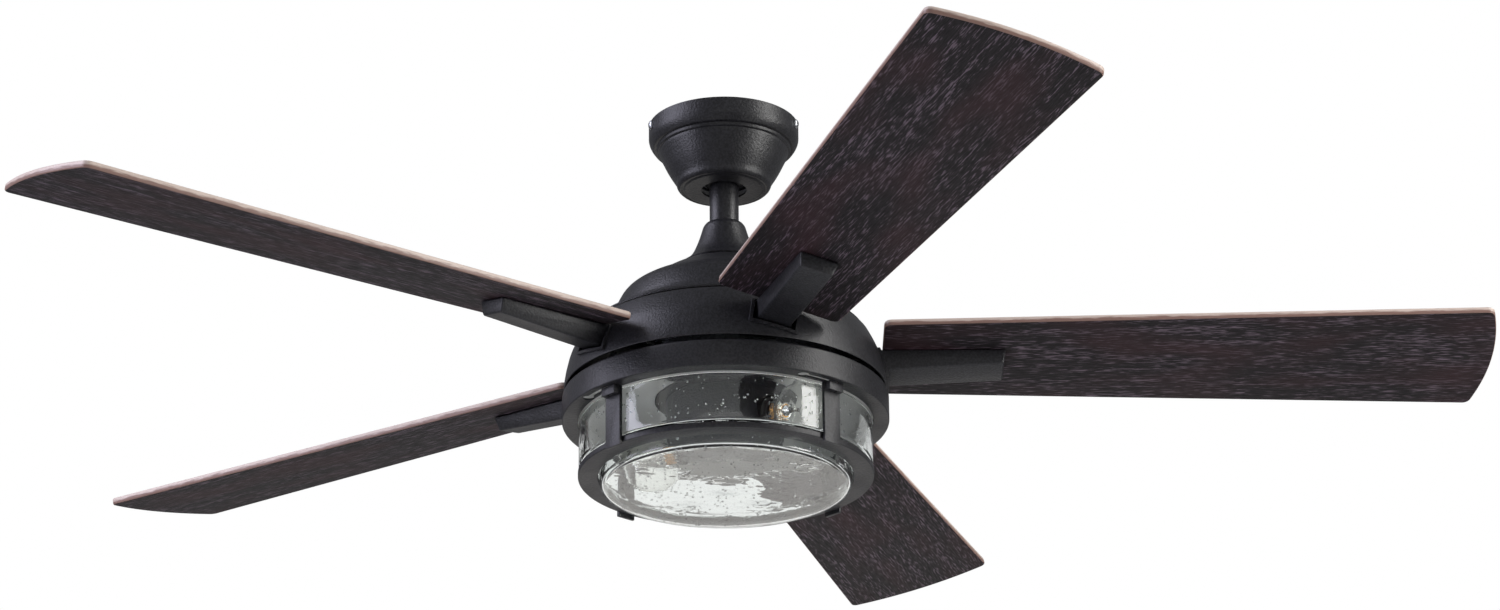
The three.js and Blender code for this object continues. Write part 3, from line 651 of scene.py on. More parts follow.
def screw_head(radius, height, shank=0.0, shank_radius=0.0):
    """A dome-headed screw that points along -Z, with its head standing on zero height and a cross recess."""
    crown = [
        (0, height),
        (radius * 0.55, height * 0.86, radius * 0.25),
        (radius * 0.95, height * 0.35, radius * 0.2),
        (radius, 0, 0.15),
    ]
    below = [(shank_radius, 0), (shank_radius, -shank, 0.3), (0, -shank)] if shank else [(0, 0)]
    head = spun(crown + below, steps=32)
    half, reach = radius * 0.13, radius * 0.62
    depth = height * 0.45
    arms = [
        brick((-reach, -half, height - depth), (reach, half, height + 1)),
        brick((-half, -reach, height - depth), (half, reach, height + 1)),
    ]
    return combined(head, arms, "DIFFERENCE")


def outwards(degrees, height):
    """From a shape drawn along Z at its distance from the axis to one that points outwards at an angle."""
    return turned(degrees) @ shifted(0, 0, height) @ turned(90, "Y")


def blade_line(number):
    """From a shape drawn with X outwards and Z up to a blade's pitched place."""
    return turned(FIRST_BLADE - number * 360 / BLADE_COUNT) @ turned(-BLADE_PITCH, "X")


def lamp_axis(degrees):
    """From a shape drawn along Z at its distance from the fan's axis to a lamp's sloping axis."""
    return (
        turned(degrees)
        @ shifted(LAMP_CUP_RADIUS, 0, LAMP_AXIS_HEIGHT)
        @ turned(90 + LAMP_TILT, "Y")
        @ shifted(0, 0, -LAMP_CUP_RADIUS)
    )


class CEILING_FAN_OT_bracket(bpy.types.Operator):
    """Builds the hanging bracket: a plate with ears for the canopy's screws and a seat for the ball"""

    bl_idname = "ceiling_fan.bracket"
    bl_label = "Hanging Bracket"
    bl_options = {"REGISTER", "UNDO"}

    def execute(self, context):
        half_width = 22
        ear_radius = 63.7
        ball_height = BALL_CENTRE / MM
        plate = combined(
            brick((-62, -half_width, -2.5), (62, half_width, 0)),
            [rod(ear_radius, -10, 10, segments=96)], "INTERSECT",
        )
        ring = [(ear_radius - 2.5, 0), (ear_radius, 0), (ear_radius, -13, 0.5), (ear_radius - 2.5, -13, 0.5)]
        ears = [
            combined(
                spun(ring, 96), [moved(brick((55, -24, -14), (70, 24, 1)), turned(side))], "INTERSECT"
            )
            for side in (0, 180)
        ]
        legs = [moved(brick((27.9, -11, ball_height - 9), (31.2, 11, -1)), turned(side)) for side in (0, 180)]
        seat = spun(
            [(30, ball_height - 6, 1), (23.3, ball_height - 20, 1), (19, ball_height - 18.6, 1),
             (27, ball_height - 6.6, 1)], 96,
        )
        cuts = [
            brick((-14, -40, -60), (14, 0, ball_height)),
            moved(spun([(0, 28), (19.5, 19.5, 6), (27.6, 0, 8), (19.5, -19.5, 6), (0, -28)], 96),
                  shifted(0, 0, ball_height)),
        ]
        cuts += [
            brick((side * 44.45 - 5, -2.8, -5), (side * 44.45 + 5, 2.8, 5)) for side in (-1, 1)
        ]
        cuts += [moved(rod(5, -5, 5), shifted(side * 14, 0, 0)) for side in (-1, 1)]
        cuts += [moved(rod(2.4, 50, 70), outwards(angle, SCREW_HEIGHT)) for angle in SCREW_ANGLES]
        whole = combined(combined(plate, [*ears, seat, *legs], "UNION"), cuts, "DIFFERENCE")
        finished("hanging_bracket", whole, "ceiling_mount", ZINC, ["ceiling_bracket"], 0)
        return {"FINISHED"}


class CEILING_FAN_OT_canopy(bpy.types.Operator):
    """Builds the canopy that covers the hanging bracket"""

    bl_idname = "ceiling_fan.canopy"
    bl_label = "Canopy"
    bl_options = {"REGISTER", "UNDO"}

    def execute(self, context):
        sizes = context.scene.fan_sizes
        outline = [
            (CANOPY_RADIUS, -0.5),
            (CANOPY_RADIUS, -13.2, 1.8),
            (64.3, -16.8, 1.8),
            (61.4, -20.8, 1),
            (58.8, -21, 0.3),
            (58.4, -23.6, 0.8),
            (56.6, -24.2, 0.3),
            (56.3, -26, 1.2),
            (48.6, -42.1, 5),
            (41.6, -53.4, 2),
            (41, -56.8, 1.5),
            (38.2, -59.5, 1),
            (35.8, -58.9, 0.6),
            (34, -60, 0.6),
            (19.7, -60),
        ]
        shell = spun(outline, sizes.turn_steps, wall=sizes.sheet)
        holes = [moved(rod(2.6, 55, 75), outwards(angle, SCREW_HEIGHT)) for angle in SCREW_ANGLES]
        shell = combined(shell, holes, "DIFFERENCE")
        finished("canopy_shell", shell, "ceiling_mount", BLACK, ["canopy"], 0)
        return {"FINISHED"}


class CEILING_FAN_OT_canopy_screws(bpy.types.Operator):
    """Builds the four dome-headed screws that hold the canopy to its bracket"""

    bl_idname = "ceiling_fan.canopy_screws"
    bl_label = "Canopy Screws"
    bl_options = {"REGISTER", "UNDO"}

    def execute(self, context):
        seat = shifted(0, 0, CANOPY_RADIUS + CLEARANCE)
        for number, angle in enumerate(SCREW_ANGLES, 1):
            screw = moved(screw_head(4.2, 2.6, 8, 2), outwards(angle, SCREW_HEIGHT), seat)
            name = f"canopy_screw_head_{number}"
            finished(name, screw, "ceiling_mount", ZINC, [f"canopy_screw_{number}"], 0)
        return {"FINISHED"}


class CEILING_FAN_OT_downrod(bpy.types.Operator):
    """Builds the hanger ball, its cross pin and the downrod"""

    bl_idname = "ceiling_fan.downrod"
    bl_label = "Ball and Downrod"
    bl_options = {"REGISTER", "UNDO"}

    def execute(self, context):
        ball_height = BALL_CENTRE / MM
        bore, radius, top = 13.0, 27.0, 18.0
        arc_steps = 14
        start, end = math.asin(top / radius), -math.acos(bore / radius)
        angles = [start + (end - start) * i / arc_steps for i in range(arc_steps + 1)]
        section = [(bore, top)] + [(radius * math.cos(a), radius * math.sin(a)) for a in angles]
        up = shifted(0, 0, ball_height)
        ball = combined(spun(section, 96), [rod(PIN_HOLE_RADIUS, -40, 40, "Y")], "DIFFERENCE")
        finished("hanger_ball_moulding", moved(ball, up), "hanging_motor", ["nylon"], ["hanger_ball"], 0)
        pin = softened(rod(3, -25, 25, "Y"), 0.6 * MM, 2)
        finished("hanger_pin", moved(pin, up), "hanging_motor", ZINC, ["ball_pin"], 0)
        low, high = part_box("downrod")
        bottom, top = low.z / MM, high.z / MM
        tube = spun([(11, bottom, 0.3), (12.7, bottom, 0.5), (12.7, top, 0.5), (11, top, 0.3)], 64)
        coupler_pin_height = BLADE_PLANE / MM + 99
        holes = [
            moved(rod(PIN_HOLE_RADIUS, -20, 20, "Y"), up),
            moved(rod(PIN_HOLE_RADIUS, -20, 20, "X"), shifted(0, 0, coupler_pin_height)),
        ]
        tube = combined(tube, holes, "DIFFERENCE")
        finished("downrod_tube", tube, "hanging_motor", BLACK, ["downrod"], 0)
        return {"FINISHED"}


class CEILING_FAN_OT_motor_covers(bpy.types.Operator):
    """Builds the yoke cover over the coupling and the domed upper housing"""

    bl_idname = "ceiling_fan.motor_covers"
    bl_label = "Yoke Cover and Upper Housing"
    bl_options = {"REGISTER", "UNDO"}

    def execute(self, context):
        sizes = context.scene.fan_sizes
        yoke = [
            (14.4, 126.4, 0.6),
            (16.2, 126.2),
            (18.4, 123.4),
            (21.4, 113),
            (24.7, 104),
            (28.3, 96.4),
            (33.5, 90.4),
            (39.6, 86.1),
        ]
        dome = [
            (24, 84.5),
            (40.5, 84.3),
            (52.7, 78),
            (64.9, 70),
            (83, 60.4),
            (88.6, 55.8),
            (92.4, 49),
            (96.3, 40),
            (98.6, 33.2),
            (102.9, 28),
            (111.3, 24),
            (120.7, 21.3),
        ]
        for name, node_name, outline in (
            ("yoke_cover_shell", "yoke_cover", yoke), ("upper_housing_shell", "upper_housing", dome)
        ):
            shell = spun(outline, sizes.turn_steps, wall=sizes.sheet, share=0.46)
            finished(name, shell, "hanging_motor", BLACK, [node_name])
        return {"FINISHED"}


class CEILING_FAN_OT_turning_band(bpy.types.Operator):
    """Builds the flared band that turns with the blades, with a collared opening for each arm"""

    bl_idname = "ceiling_fan.turning_band"
    bl_label = "Turning Band"
    bl_options = {"REGISTER", "UNDO"}

    opening = (18.6, -20.6, 0.6)  # half width, bottom and top, across a blade's line
    rim = 2.6
    proud = 2.6

    def execute(self, context):
        sizes = context.scene.fan_sizes
        sheet = sizes.sheet / MM
        inner = [(radius - sheet, height, reach) for radius, height, reach in reversed(FLARE)]
        web_bottom, web_top, web_radius = CLEARANCE, 2.3, 86

        def wall_at(height):
            return 132.7 - height * 0.44 - sheet

        section = [
            *FLARE,
            *[point for point in inner if point[1] < web_bottom],
            (wall_at(web_bottom), web_bottom, 1),
            (web_radius, web_bottom, 0.4),
            (web_radius, web_top, 0.4),
            (wall_at(web_top), web_top, 1),
            *[point for point in inner if point[1] > web_top],
        ]
        band = spun(section, sizes.turn_steps)
        half, bottom, top = self.opening
        limit = [(110, 18), *[(radius + self.proud, height, 1) for radius, height, _ in FLARE], (110, -30.5)]
        collars, openings = [], []
        for number in range(BLADE_COUNT):
            line = blade_line(number)
            frame_block = softened(
                brick((127, -half - self.rim, bottom - self.rim), (150, half + self.rim, -0.6)),
                sizes.collar_edge, 2,
            )
            collars.append(combined(moved(frame_block, line), [spun(limit, sizes.turn_steps)], "INTERSECT"))
            openings.append(moved(brick((118, -half, bottom), (152, half, top)), line))
        whole = combined(combined(band, collars, "UNION"), openings, "DIFFERENCE")
        finished("turning_band", whole, "rotor", BLACK, ["middle_housing"])
        return {"FINISHED"}


class CEILING_FAN_OT_blade_arms(bpy.types.Operator):
    """Builds the five blade arms: a tapering bar under each blade with a tongue bolted to the rotor"""

    bl_idname = "ceiling_fan.blade_arms"
    bl_label = "Blade Arms"
    bl_options = {"REGISTER", "UNDO"}

    def execute(self, context):
        sizes = context.scene.fan_sizes
        start, end = 127, 240
        top_half, bottom_half = 17.3, 14
        root_depth, end_depth, drawn_back = 19, 12.5, 2
        for number in range(BLADE_COUNT):
            bar = brick((start, -1, -1), (end, 1, 0))
            for vert in bar.verts:
                at_end = vert.co.x > (start + end) / 2 * MM
                below = vert.co.z < -0.5 * MM
                half = bottom_half if below else top_half
                depth = end_depth if at_end else root_depth
                vert.co.y = math.copysign(half, vert.co.y) * MM
                vert.co.z = (-CLEARANCE - (depth if below else 0)) * MM
                vert.co.x -= drawn_back * MM if at_end and below else 0
            softened(bar, sizes.arm_edge, 3)
            tongue = softened(brick((85, -16, -11.3), (130, 16, -6.3)), 1 * MM, 2)
            spin_place = turned(FIRST_BLADE - number * 360 / BLADE_COUNT)
            arm = combined(moved(bar, blade_line(number)), [moved(tongue, spin_place)], "UNION")
            name = f"blade_arm_casting_{number + 1}"
            finished(name, arm, "rotor", BLACK, [f"blade_arm_{number + 1}"])
        return {"FINISHED"}


class CEILING_FAN_OT_blades(bpy.types.Operator):
    """Builds the five blades: laminated boards with a bowed tip, rounded corners and a banded edge"""

    bl_idname = "ceiling_fan.blades"
    bl_label = "Blades"
    bl_options = {"REGISTER", "UNDO"}

    root, root_half = 134.6, 54
    tip_corner, tip_half, bow = 651.4, 71, 8.9
    corner = 6

    def outline(self):
        """Corners and the tip's bow as (outwards, across, rounding) points."""
        arc_half = self.tip_half - self.corner
        arc_steps = 24
        bow_points = []
        for i in range(arc_steps + 1):
            across = arc_half * (2 * i / arc_steps - 1)
            outwards_to = self.tip_corner + 1 + (self.bow - 1) * (1 - (across / arc_half) ** 2)
            bow_points.append((outwards_to, across, 0))
        return [
            (self.root, -self.root_half, self.corner),
            (self.tip_corner, -self.tip_half, self.corner * 0.98),
            *bow_points,
            (self.tip_corner, self.tip_half, self.corner * 0.98),
            (self.root, self.root_half, self.corner),
        ]

    def execute(self, context):
        sizes = context.scene.fan_sizes
        for number in range(BLADE_COUNT):
            board = moved(wire_outline(self.outline(), closed=True), turned(90, "X"))
            bmesh.ops.contextual_create(board, geom=board.edges[:])
            face = board.faces[:]
            grown = bmesh.ops.extrude_face_region(board, geom=face)["geom"]
            raised = [item for item in grown if isinstance(item, bmesh.types.BMVert)]
            bmesh.ops.translate(board, verts=raised, vec=(0, 0, sizes.blade_thickness))
            bmesh.ops.recalc_face_normals(board, faces=board.faces)
            softened(board, sizes.blade_edge, 3, above=60)
            self.lay_grain(board, number)
            moved(board, blade_line(number))
            name, skins = f"blade_board_{number + 1}", ["laminate", "edge_band"]
            finished(name, board, "rotor", skins, [f"blade_{number + 1}"], crease=50)
        return {"FINISHED"}

    def lay_grain(self, board, number):
        """Lays the grain along the blade, in metres, each blade from its own stretch of the film."""
        face_limit = 0.8
        film = Vector((number * 0.83, number * 0.27))
        layer = board.loops.layers.uv.new("Grain")
        board.normal_update()
        for face in board.faces:
            flat = abs(face.normal.z) > face_limit
            face.material_index = 0 if flat else 1
            for loop in face.loops:
                x, y, z = loop.vert.co
                # On the edges the second coordinate is the height up the edge, which places the edge band's
                # painted shade and light.
                loop[layer].uv = film + Vector((x, y)) if flat else (film.x + x + y, z)


class CEILING_FAN_OT_blade_screws(bpy.types.Operator):
    """Builds the three screws on top of each blade that hold it to its arm"""

    bl_idname = "ceiling_fan.blade_screws"
    bl_label = "Blade Screws"
    bl_options = {"REGISTER", "UNDO"}

    def execute(self, context):
        sizes = context.scene.fan_sizes
        top = sizes.blade_thickness / MM + 0.1
        washer = 0.9
        places = [(160, -9), (160, 9), (222, 0)]
        ring = [(2.6, washer), (6, washer, 0.3), (6, 0, 0.3), (2.6, 0)]
        for number in range(BLADE_COUNT):
            heads = []
            for x, y in places:
                heads.append(moved(spun(ring, sizes.fine_steps), shifted(x, y, top)))
                heads.append(moved(screw_head(4.4, 2.4), shifted(x, y, top + washer + 0.1)))
            screws = moved(gathered(heads), blade_line(number))
            finished(f"blade_screws_{number + 1}", screws, "rotor", ZINC)
        return {"FINISHED"}


class CEILING_FAN_OT_light_pan(bpy.types.Operator):
    """Builds the pan over the light, with a keyhole slot in its ledge for each of the shade's studs"""

    bl_idname = "ceiling_fan.light_pan"
    bl_label = "Light Pan"
    bl_options = {"REGISTER", "UNDO"}

    def execute(self, context):
        sizes = context.scene.fan_sizes
        top, bottom, radius = -35, PAN_BOTTOM, 139.6
        sheet = sizes.sheet / MM
        rim = radius - sheet
        section = [
            (8.3, top),
            (radius, top, 2.2),
            (radius, bottom, 1.2),
            (126, bottom, 0.4),
            (126, bottom + sheet, 0.4),
            (rim, bottom + sheet, 0.8),
            (rim, top - sheet, 0.8),
            (8.3, top - sheet),
        ]
        cuts = [hole for angle in STRAP_ANGLES for hole in self.keyhole(angle, bottom)]
        pan = combined(spun(section, sizes.turn_steps), cuts, "DIFFERENCE")
        for face in pan.faces:
            middle = face.calc_center_median() / MM
            inside = bottom + sheet - 0.3 < middle.z < top - sheet + 0.3
            face.material_index = int(inside and math.hypot(middle.x, middle.y) < rim + 0.3)
        skins = ["black_powder_coat", "white_enamel"]
        finished("light_pan_shell", pan, "hanging_motor", skins, ["light_pan"])
        return {"FINISHED"}

    def keyhole(self, degrees, height):
        """The narrow arc where a stud locks and the round end that lets its head through."""
        half, wide, twist = 2.5, 5, JOINTS["shade_twist"]["range_deg"][1]
        low, high = height - 5, height + 5
        ring = [
            (STUD_CIRCLE + half, low), (STUD_CIRCLE + half, high),
            (STUD_CIRCLE - half, high), (STUD_CIRCLE - half, low),
        ]
        sector = bmesh.new()
        corners = [sector.verts.new((r * MM, 0, z * MM)) for r, z in ring]
        sector.faces.new(corners)
        bmesh.ops.transform(sector, matrix=turned(degrees - twist), verts=sector.verts)
        bmesh.ops.spin(
            sector, geom=sector.faces[:], cent=(0, 0, 0), axis=(0, 0, 1), dvec=(0, 0, 0),
            angle=math.radians(twist + 1), steps=8, use_merge=False, use_normal_flip=False,
            use_duplicate=False,
        )
        bmesh.ops.recalc_face_normals(sector, faces=sector.faces)
        ends = [
            moved(rod(half, low, high), turned(degrees + 1) @ shifted(STUD_CIRCLE, 0, 0)),
            moved(rod(wide, low, high), turned(degrees - twist) @ shifted(STUD_CIRCLE, 0, 0)),
        ]
        return [sector, *ends]


class CEILING_FAN_OT_lamp_cup(bpy.types.Operator):
    """Builds the cup under the pan that carries the two lampholders"""

    bl_idname = "ceiling_fan.lamp_cup"
    bl_label = "Lamp Cup"
    bl_options = {"REGISTER", "UNDO"}

    def execute(self, context):
        sizes = context.scene.fan_sizes
        sheet = sizes.sheet / MM
        top, bottom = -36.8, -73.5
        inner = LAMP_CUP_RADIUS - sheet
        section = [
            (0, bottom),
            (LAMP_CUP_RADIUS, bottom, 3),
            (LAMP_CUP_RADIUS, top - sheet, 0.8),
            (60, top - sheet, 0.4),
            (60, top, 0.4),
            (inner, top, 0.6),
            (inner, bottom + sheet, 1.5),
            (0, bottom + sheet),
        ]
        holes = [moved(rod(11.6, 35, 65, segments=64), lamp_axis(angle)) for angle in LAMP_ANGLES]
        cup = combined(spun(section, 96), holes, "DIFFERENCE")
        finished("lamp_cup", cup, "hanging_motor", ["cup_satin_paint"], ["lamp_bracket"])
        return {"FINISHED"}


class CEILING_FAN_OT_lamps(bpy.types.Operator):
    """Builds the lampholders and the bulbs in them: threaded base, clear globe, stem and filament"""

    bl_idname = "ceiling_fan.lamps"
    bl_label = "Lampholders and Bulbs"
    bl_options = {"REGISTER", "UNDO"}

    foot, centre, radius = 72, 92, 24

    def execute(self, context):
        sizes = context.scene.fan_sizes
        for number, angle in enumerate(LAMP_ANGLES, 1):
            axis = lamp_axis(angle)
            for name, shape, finish, replaced in (
                ("lampholder", self.holder(sizes), "phenolic", [f"lamp_socket_{number}"]),
                ("bulb_thread", self.base(sizes), "rolled_brass", [f"bulb_base_{number}"]),
                ("bulb_globe", self.globe(sizes), "bulb_glass", [f"bulb_glass_{number}"]),
                ("bulb_filament", self.filament(), "tungsten", []),
            ):
                finished(f"{name}_{number}", moved(shape, axis), "hanging_motor", [finish], replaced)
        return {"FINISHED"}

    def holder(self, sizes):
        body = [(0, 36), (11, 36, 1), (11, 54.2, 0.3)]
        collar = [(13, 54.2, 0.5), (13, 56, 0.5)]
        nose = [(9, 57, 0.5), (9, 59, 0.6), (7.2, 59, 0.4)]
        bore = [(7.2, 46, 0.5), (0, 46)]
        return spun(body + collar + nose + bore, sizes.fine_steps)

    def base(self, sizes):
        """A rolled thread drawn as rings, a candelabra base's pitch apart."""
        pitch = sizes.thread_pitch / MM
        start, crest, root = 51, 6.0, 5.3
        turns = int((self.foot - 1.5 - start) / pitch)
        thread = []
        for turn in range(turns):
            thread += [(root, start + turn * pitch), (crest, start + (turn + 0.5) * pitch)]
        outline = [(0, 46.5), (2.6, 46.5), (3.4, 48.2), *thread, (root, start + turns * pitch)]
        outline += [(crest, self.foot - 0.4), (5.4, self.foot), (0, self.foot)]
        return spun(outline, sizes.fine_steps, share=0.4)

    def globe(self, sizes):
        """The blown globe, its neck, and the pressed stem that holds the filament."""
        wall, neck = 1.0, 6.0
        arc_steps = 20
        angles = [math.radians(90 - 152 * i / arc_steps) for i in range(arc_steps + 1)]

        def arc(radius):
            return [(radius * math.cos(a), self.centre + radius * math.sin(a)) for a in angles]

        outer, inner = arc(self.radius), arc(self.radius - wall)
        outer[0] = (0, outer[0][1])
        inner[0] = (0, inner[0][1])
        foot = self.foot + CLEARANCE
        section = [*outer, (neck, foot), (neck - wall, foot), *reversed(inner)]
        stem = [(0, 88), (1.6, 87, 0.6), (1.4, 80, 2), (3.8, 74, 2), (4.2, foot, 0.4), (0, foot)]
        return gathered([spun(section, 64, share=0.3), spun(stem, sizes.fine_steps)])

    def filament(self):
        """Two leads, and a coiled filament bent round between them."""
        coil_turns, steps_a_turn = 16, 7
        span, height, rise, coil = 9.0, 97.0, 4.0, 0.55
        route = []
        for i in range(coil_turns * steps_a_turn + 1):
            share = i / (coil_turns * steps_a_turn)
            angle = FULL_TURN * coil_turns * share
            x = span * (2 * share - 1)
            z = height + rise * math.sin(math.pi * share)
            route.append(Vector((x, coil * math.cos(angle), z + coil * math.sin(angle))) * MM)
        leads = [
            wire([Vector((side * 0.7, 0, 88.3)) * MM, Vector((side * 4, 0, 91)) * MM,
                  Vector((side * span, 0.4, height - 0.4)) * MM], 0.22 * MM)
            for side in (-1, 1)
        ]
        return gathered([wire(route, 0.14 * MM), *leads])


class CEILING_FAN_OT_glass_shade(bpy.types.Operator):
    """Builds the stepped glass shade, with slow waves in its wall and seeds trapped in the glass"""

    bl_idname = "ceiling_fan.glass_shade"
    bl_label = "Glass Shade"
    bl_options = {"REGISTER", "UNDO"}

    wall = 3.5
    top, shoulder, bottom = -58.9, -102.3, -117
    drum, bowl = 125.2, 107.2

    def execute(self, context):
        sizes = context.scene.fan_sizes
        wall = self.wall
        section = [
            (0, self.bottom + 0.6),
            (12, self.bottom + 0.5, 6),
            (26, self.bottom + 0.1, 6),
            (38, self.bottom + 0.3, 6),
            (54, self.bottom + 0.05, 6),
            (self.bowl, self.bottom, 5),
            (self.bowl, self.shoulder, 1),
            (self.drum, self.shoulder, 5),
            (self.drum, self.top, 1.2),
            (self.drum - wall, self.top, 1.2),
            (self.drum - wall, self.shoulder + wall, 1.5),
            (self.bowl - wall, self.shoulder + wall, 1.5),
            (self.bowl - wall, self.bottom + wall, 1.5),
            (0, self.bottom + wall),
        ]
        glass = spun(section, sizes.turn_steps, longest=5 * MM)
        wave_length = 26 * MM
        glass.normal_update()
        for vert in glass.verts:
            dip = 0.5 + 0.5 * noise.noise(vert.co / wave_length)
            vert.co -= vert.normal * sizes.glass_wave * dip
        glass = gathered([glass, self.seeds(sizes)])
        finished("seeded_glass_shade", glass, "shade", ["seeded_glass"], ["glass_shade"], crease=60)
        return {"FINISHED"}

    def seeds(self, sizes):
        """Closed bubbles in the middle of the wall, which face the glass round them."""
        chance = random.Random(7)
        middle = self.wall / 2
        stretches = [  # from and to, each (radius, height), along the wall's middle
            ((self.drum - middle, self.top - 3), (self.drum - middle, self.shoulder + 6)),
            ((self.drum - 6, self.shoulder + middle), (self.bowl + 2, self.shoulder + middle)),
            ((self.bowl - middle, self.shoulder - 2), (self.bowl - middle, self.bottom + 5)),
            ((self.bowl - 6, self.bottom + middle), (3, self.bottom + middle)),
        ]
        areas = [
            math.dist(start, end) * (start[0] + end[0]) * math.pi for start, end in stretches
        ]
        batches = []
        batch_size = 20  # kept small, because each operator reads through the whole mesh
        for number in range(sizes.seed_count):
            if number % batch_size == 0:
                batches.append(bmesh.new())
            start, end = chance.choices(stretches, areas)[0]
            radii = start[0] ** 2, end[0] ** 2
            radius = math.sqrt(radii[0] + (radii[1] - radii[0]) * chance.random())
            flat = start[1] == end[1]
            height = start[1] if flat else start[1] + (end[1] - start[1]) * chance.random()
            size = sizes.seed_radius * (0.45 + 0.55 * chance.random() ** 2)
            place = (
                turned(chance.random() * 360)
                @ shifted(radius, 0, height)
                @ Matrix.Diagonal((size * (1.3 if flat else 0.8), size, size * (0.8 if flat else 1.3), 1))
            )
            bmesh.ops.create_uvsphere(batches[-1], u_segments=8, v_segments=6, radius=1, matrix=place)
        together = gathered(batches)
        bmesh.ops.reverse_faces(together, faces=together.faces)
        return together


class CEILING_FAN_OT_cage(bpy.types.Operator):
    """Builds the ring under the shade's shoulder and the four straps that carry it"""

    bl_idname = "ceiling_fan.cage"
    bl_label = "Cage"
    bl_options = {"REGISTER", "UNDO"}

    def execute(self, context):
        sizes = context.scene.fan_sizes
        ring_top, ring_bottom, ring_inner, ring_outer = -102.7, -107.6, 108.5, 125.6
        section = [
            (ring_inner, ring_bottom, 0.6),
            (ring_outer, ring_bottom, 0.8),
            (ring_outer, ring_top, 0.6),
            (ring_inner, ring_top, 0.5),
        ]
        finished("cage_hoop", spun(section, sizes.turn_steps), "shade", BLACK, ["cage_ring"])
        top = PAN_BOTTOM - CLEARANCE
        for number, angle in enumerate(STRAP_ANGLES, 1):
            strap = softened(brick((126, -9, -110.5), (129, 9, top)), sizes.strap_edge, 2)
            foot = softened(brick((126, -8, top - 7.5), (134.5, 8, top)), sizes.strap_edge, 2)
            hole = moved(rod(2.1, top - 20, top + 5), shifted(STUD_CIRCLE, 0, 0))
            whole = combined(combined(strap, [foot], "UNION"), [hole], "DIFFERENCE")
            name = f"cage_bar_{number}"
            finished(name, moved(whole, turned(angle)), "shade", BLACK, [f"cage_strap_{number}"])
        return {"FINISHED"}


class CEILING_FAN_OT_inner_parts(bpy.types.Operator):
    """Gives the motor, the coupling and the hidden fasteners their finishes"""

    bl_idname = "ceiling_fan.inner_parts"
    bl_label = "Motor and Fasteners"
    bl_options = {"REGISTER", "UNDO"}

    by_finish = {
        "cast_aluminium": ["motor_coupler", "rotor_case_upper", "rotor_case_lower"],
        "ground_steel": ["motor_shaft", "upper_bearing", "lower_bearing"],
        "laminations": ["stator_core", "rotor_ring"],
        "copper": ["upper_winding", "lower_winding"],
        "zinc_plate": [
            "coupler_pin", "coupler_clip", "coupler_set_screw_1", "coupler_set_screw_2", "shaft_nut",
            "light_plate", "pan_screw_1", "pan_screw_2", "pan_screw_3",
            "cage_stud_1", "cage_stud_2", "cage_stud_3", "cage_stud_4",
        ],
    }

    def execute(self, context):
        for finish, names in self.by_finish.items():
            for name in names:
                mesh = frame["nodes"][name].data
                mesh.materials.clear()
                mesh.materials.append(material_of(finish))
        return {"FINISHED"}


# ---------------------------------------------------------------- the studio


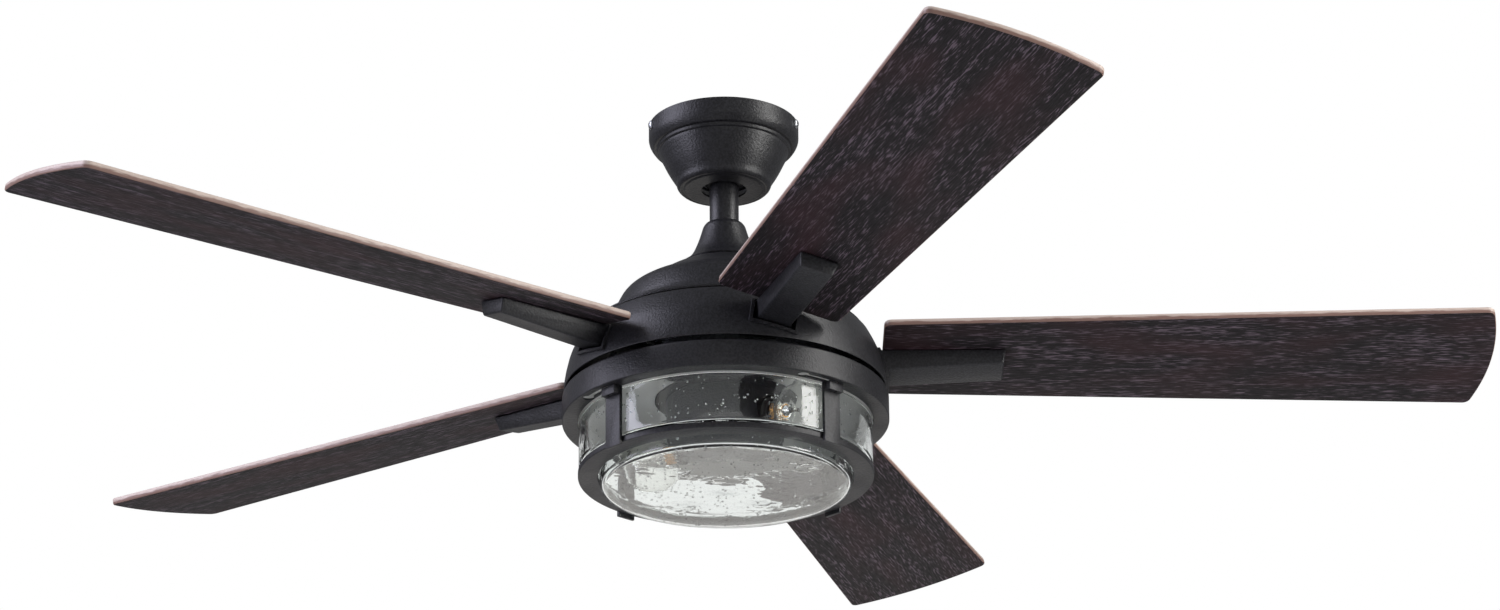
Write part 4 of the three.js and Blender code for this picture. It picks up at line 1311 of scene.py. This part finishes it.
class CEILING_FAN_OT_stage(bpy.types.Operator):
    """Builds the pale floor, the soft studio light and the camera that looks up at the fan"""

    bl_idname = "ceiling_fan.stage"
    bl_label = "Studio"
    bl_options = {"REGISTER", "UNDO"}

    cool, neutral = (0.84, 0.83, 1.0), (1.0, 0.99, 0.97)
    lights = (  # name, place, width and height, the setting for its power, and its tint
        ("left_light", (-2.9, -0.5, 1.2), (2.2, 3.2), "left_light", cool),
        ("right_light", (2.9, -1.0, 0.9), (1.1, 4.2), "right_light", neutral),
        ("left_low_light", (-2.9, -1.2, -0.8), (1.2, 0.9), "low_lights", cool),
        ("right_low_light", (2.9, -1.2, -0.8), (1.2, 0.9), "low_lights", neutral),
        ("front_light", (0, -4.2, 0.2), (3.0, 1.6), "front_light", (1.0, 0.98, 0.96)),
        ("back_light", (0, 3.6, -1.6), (3.6, 1.2), "back_light", (1.0, 0.95, 0.9)),
    )
    floor_radius = 14
    camera_place = (0.0097, -3.1842, -1.4699)
    camera_lens = 95.68
    camera_heading, camera_rise, camera_roll = 0.216, 22.232, -0.559  # degrees

    def execute(self, context):
        stage = context.scene.fan_stage
        self.add_floor(stage)
        self.add_surroundings(context.scene, stage)
        for name, place, size, power, tint in self.lights:
            self.add_light(name, place, size, getattr(stage, power), tint)
        self.add_camera(context.scene)
        context.scene.view_settings.view_transform = "Standard"
        return {"FINISHED"}

    def add_floor(self, stage):
        disc = bmesh.new()
        place = Matrix.Translation((0, 0, -stage.floor_drop))
        bmesh.ops.create_circle(disc, cap_ends=True, segments=96, radius=self.floor_radius, matrix=place)
        mesh = bpy.data.meshes.new("floor")
        disc.to_mesh(mesh)
        disc.free()
        mesh.materials.append(material_of("floor"))
        floor = bpy.data.objects.new("floor", mesh)
        bpy.context.scene.collection.objects.link(floor)

    def add_surroundings(self, scene, stage):
        """White behind the fan and through its glass, and a dimmer grey where it lights the fan."""
        world = bpy.data.worlds.new("studio")
        world.use_nodes = True
        tree = world.node_tree
        tree.nodes.clear()
        path = node(tree, "ShaderNodeLightPath")
        seen = node(
            tree, "ShaderNodeMath",
            {0: path.outputs["Is Camera Ray"], 1: path.outputs["Is Transmission Ray"]}, operation="MAXIMUM",
        )
        dim = {"Color": (0.97, 0.98, 1, 1), "Strength": stage.surroundings}
        grey = node(tree, "ShaderNodeBackground", dim)
        white = node(tree, "ShaderNodeBackground", {"Color": (1, 1, 1, 1), "Strength": stage.backdrop})
        both = node(
            tree, "ShaderNodeMixShader",
            {0: seen.outputs["Value"], 1: grey.outputs["Background"], 2: white.outputs["Background"]},
        )
        node(tree, "ShaderNodeOutputWorld", {"Surface": both.outputs["Shader"]})
        scene.world = world

    def add_light(self, name, place, size, power, tint):
        """A soft rectangular light, aimed at the middle of the fan."""
        lamp = bpy.data.lights.new(name, "AREA")
        lamp.shape = "RECTANGLE"
        lamp.size, lamp.size_y = size
        lamp.energy = power
        lamp.color = tint
        holder = bpy.data.objects.new(name, lamp)
        holder.location = place
        holder.rotation_mode = "QUATERNION"
        middle = Vector((0, 0, BLADE_PLANE))
        holder.rotation_quaternion = (middle - Vector(place)).to_track_quat("-Z", "Y")
        bpy.context.scene.collection.objects.link(holder)

    def add_camera(self, scene):
        lens = bpy.data.cameras.new("camera")
        lens.lens = self.camera_lens
        lens.sensor_fit = "HORIZONTAL"
        lens.sensor_width = 36
        lens.clip_start, lens.clip_end = 0.05, 60
        camera = bpy.data.objects.new("camera", lens)
        level = turned(-self.camera_heading) @ turned(90 + self.camera_rise, "X") @ turned(self.camera_roll)
        camera.matrix_world = Matrix.Translation(self.camera_place) @ level
        scene.collection.objects.link(camera)
        scene.camera = camera


# ---------------------------------------------------------------- the add-on

OPERATORS = (
    CEILING_FAN_OT_stage,
    CEILING_FAN_OT_bracket,
    CEILING_FAN_OT_canopy,
    CEILING_FAN_OT_canopy_screws,
    CEILING_FAN_OT_downrod,
    CEILING_FAN_OT_motor_covers,
    CEILING_FAN_OT_turning_band,
    CEILING_FAN_OT_blade_arms,
    CEILING_FAN_OT_blades,
    CEILING_FAN_OT_blade_screws,
    CEILING_FAN_OT_light_pan,
    CEILING_FAN_OT_lamp_cup,
    CEILING_FAN_OT_lamps,
    CEILING_FAN_OT_glass_shade,
    CEILING_FAN_OT_cage,
    CEILING_FAN_OT_inner_parts,
)
SETTINGS = {"fan_sizes": FanSizes, "fan_colours": FanColours, "fan_stage": FanStage}


class CEILING_FAN_PT_pieces(bpy.types.Panel):
    """Lists the fan's settings and the buttons that build its pieces"""

    bl_idname = "CEILING_FAN_PT_pieces"
    bl_label = "Ceiling Fan with Light"
    bl_space_type = "VIEW_3D"
    bl_region_type = "UI"
    bl_category = "Ceiling Fan"

    def draw(self, context):
        for name, group in SETTINGS.items():
            box = self.layout.box()
            for setting in group.__annotations__:
                box.prop(getattr(context.scene, name), setting)
        for operator in OPERATORS:
            self.layout.operator(operator.bl_idname)


def register():
    for kind in (*SETTINGS.values(), *OPERATORS, CEILING_FAN_PT_pieces):
        bpy.utils.register_class(kind)
    for name, group in SETTINGS.items():
        setattr(bpy.types.Scene, name, bpy.props.PointerProperty(type=group))


def unregister():
    for name in SETTINGS:
        delattr(bpy.types.Scene, name)
    for kind in reversed((*SETTINGS.values(), *OPERATORS, CEILING_FAN_PT_pieces)):
        bpy.utils.unregister_class(kind)


def main():
    register()
    for operator in OPERATORS:
        group, name = operator.bl_idname.split(".")
        getattr(getattr(bpy.ops, group), name)()


if __name__ == "__main__":
    main()
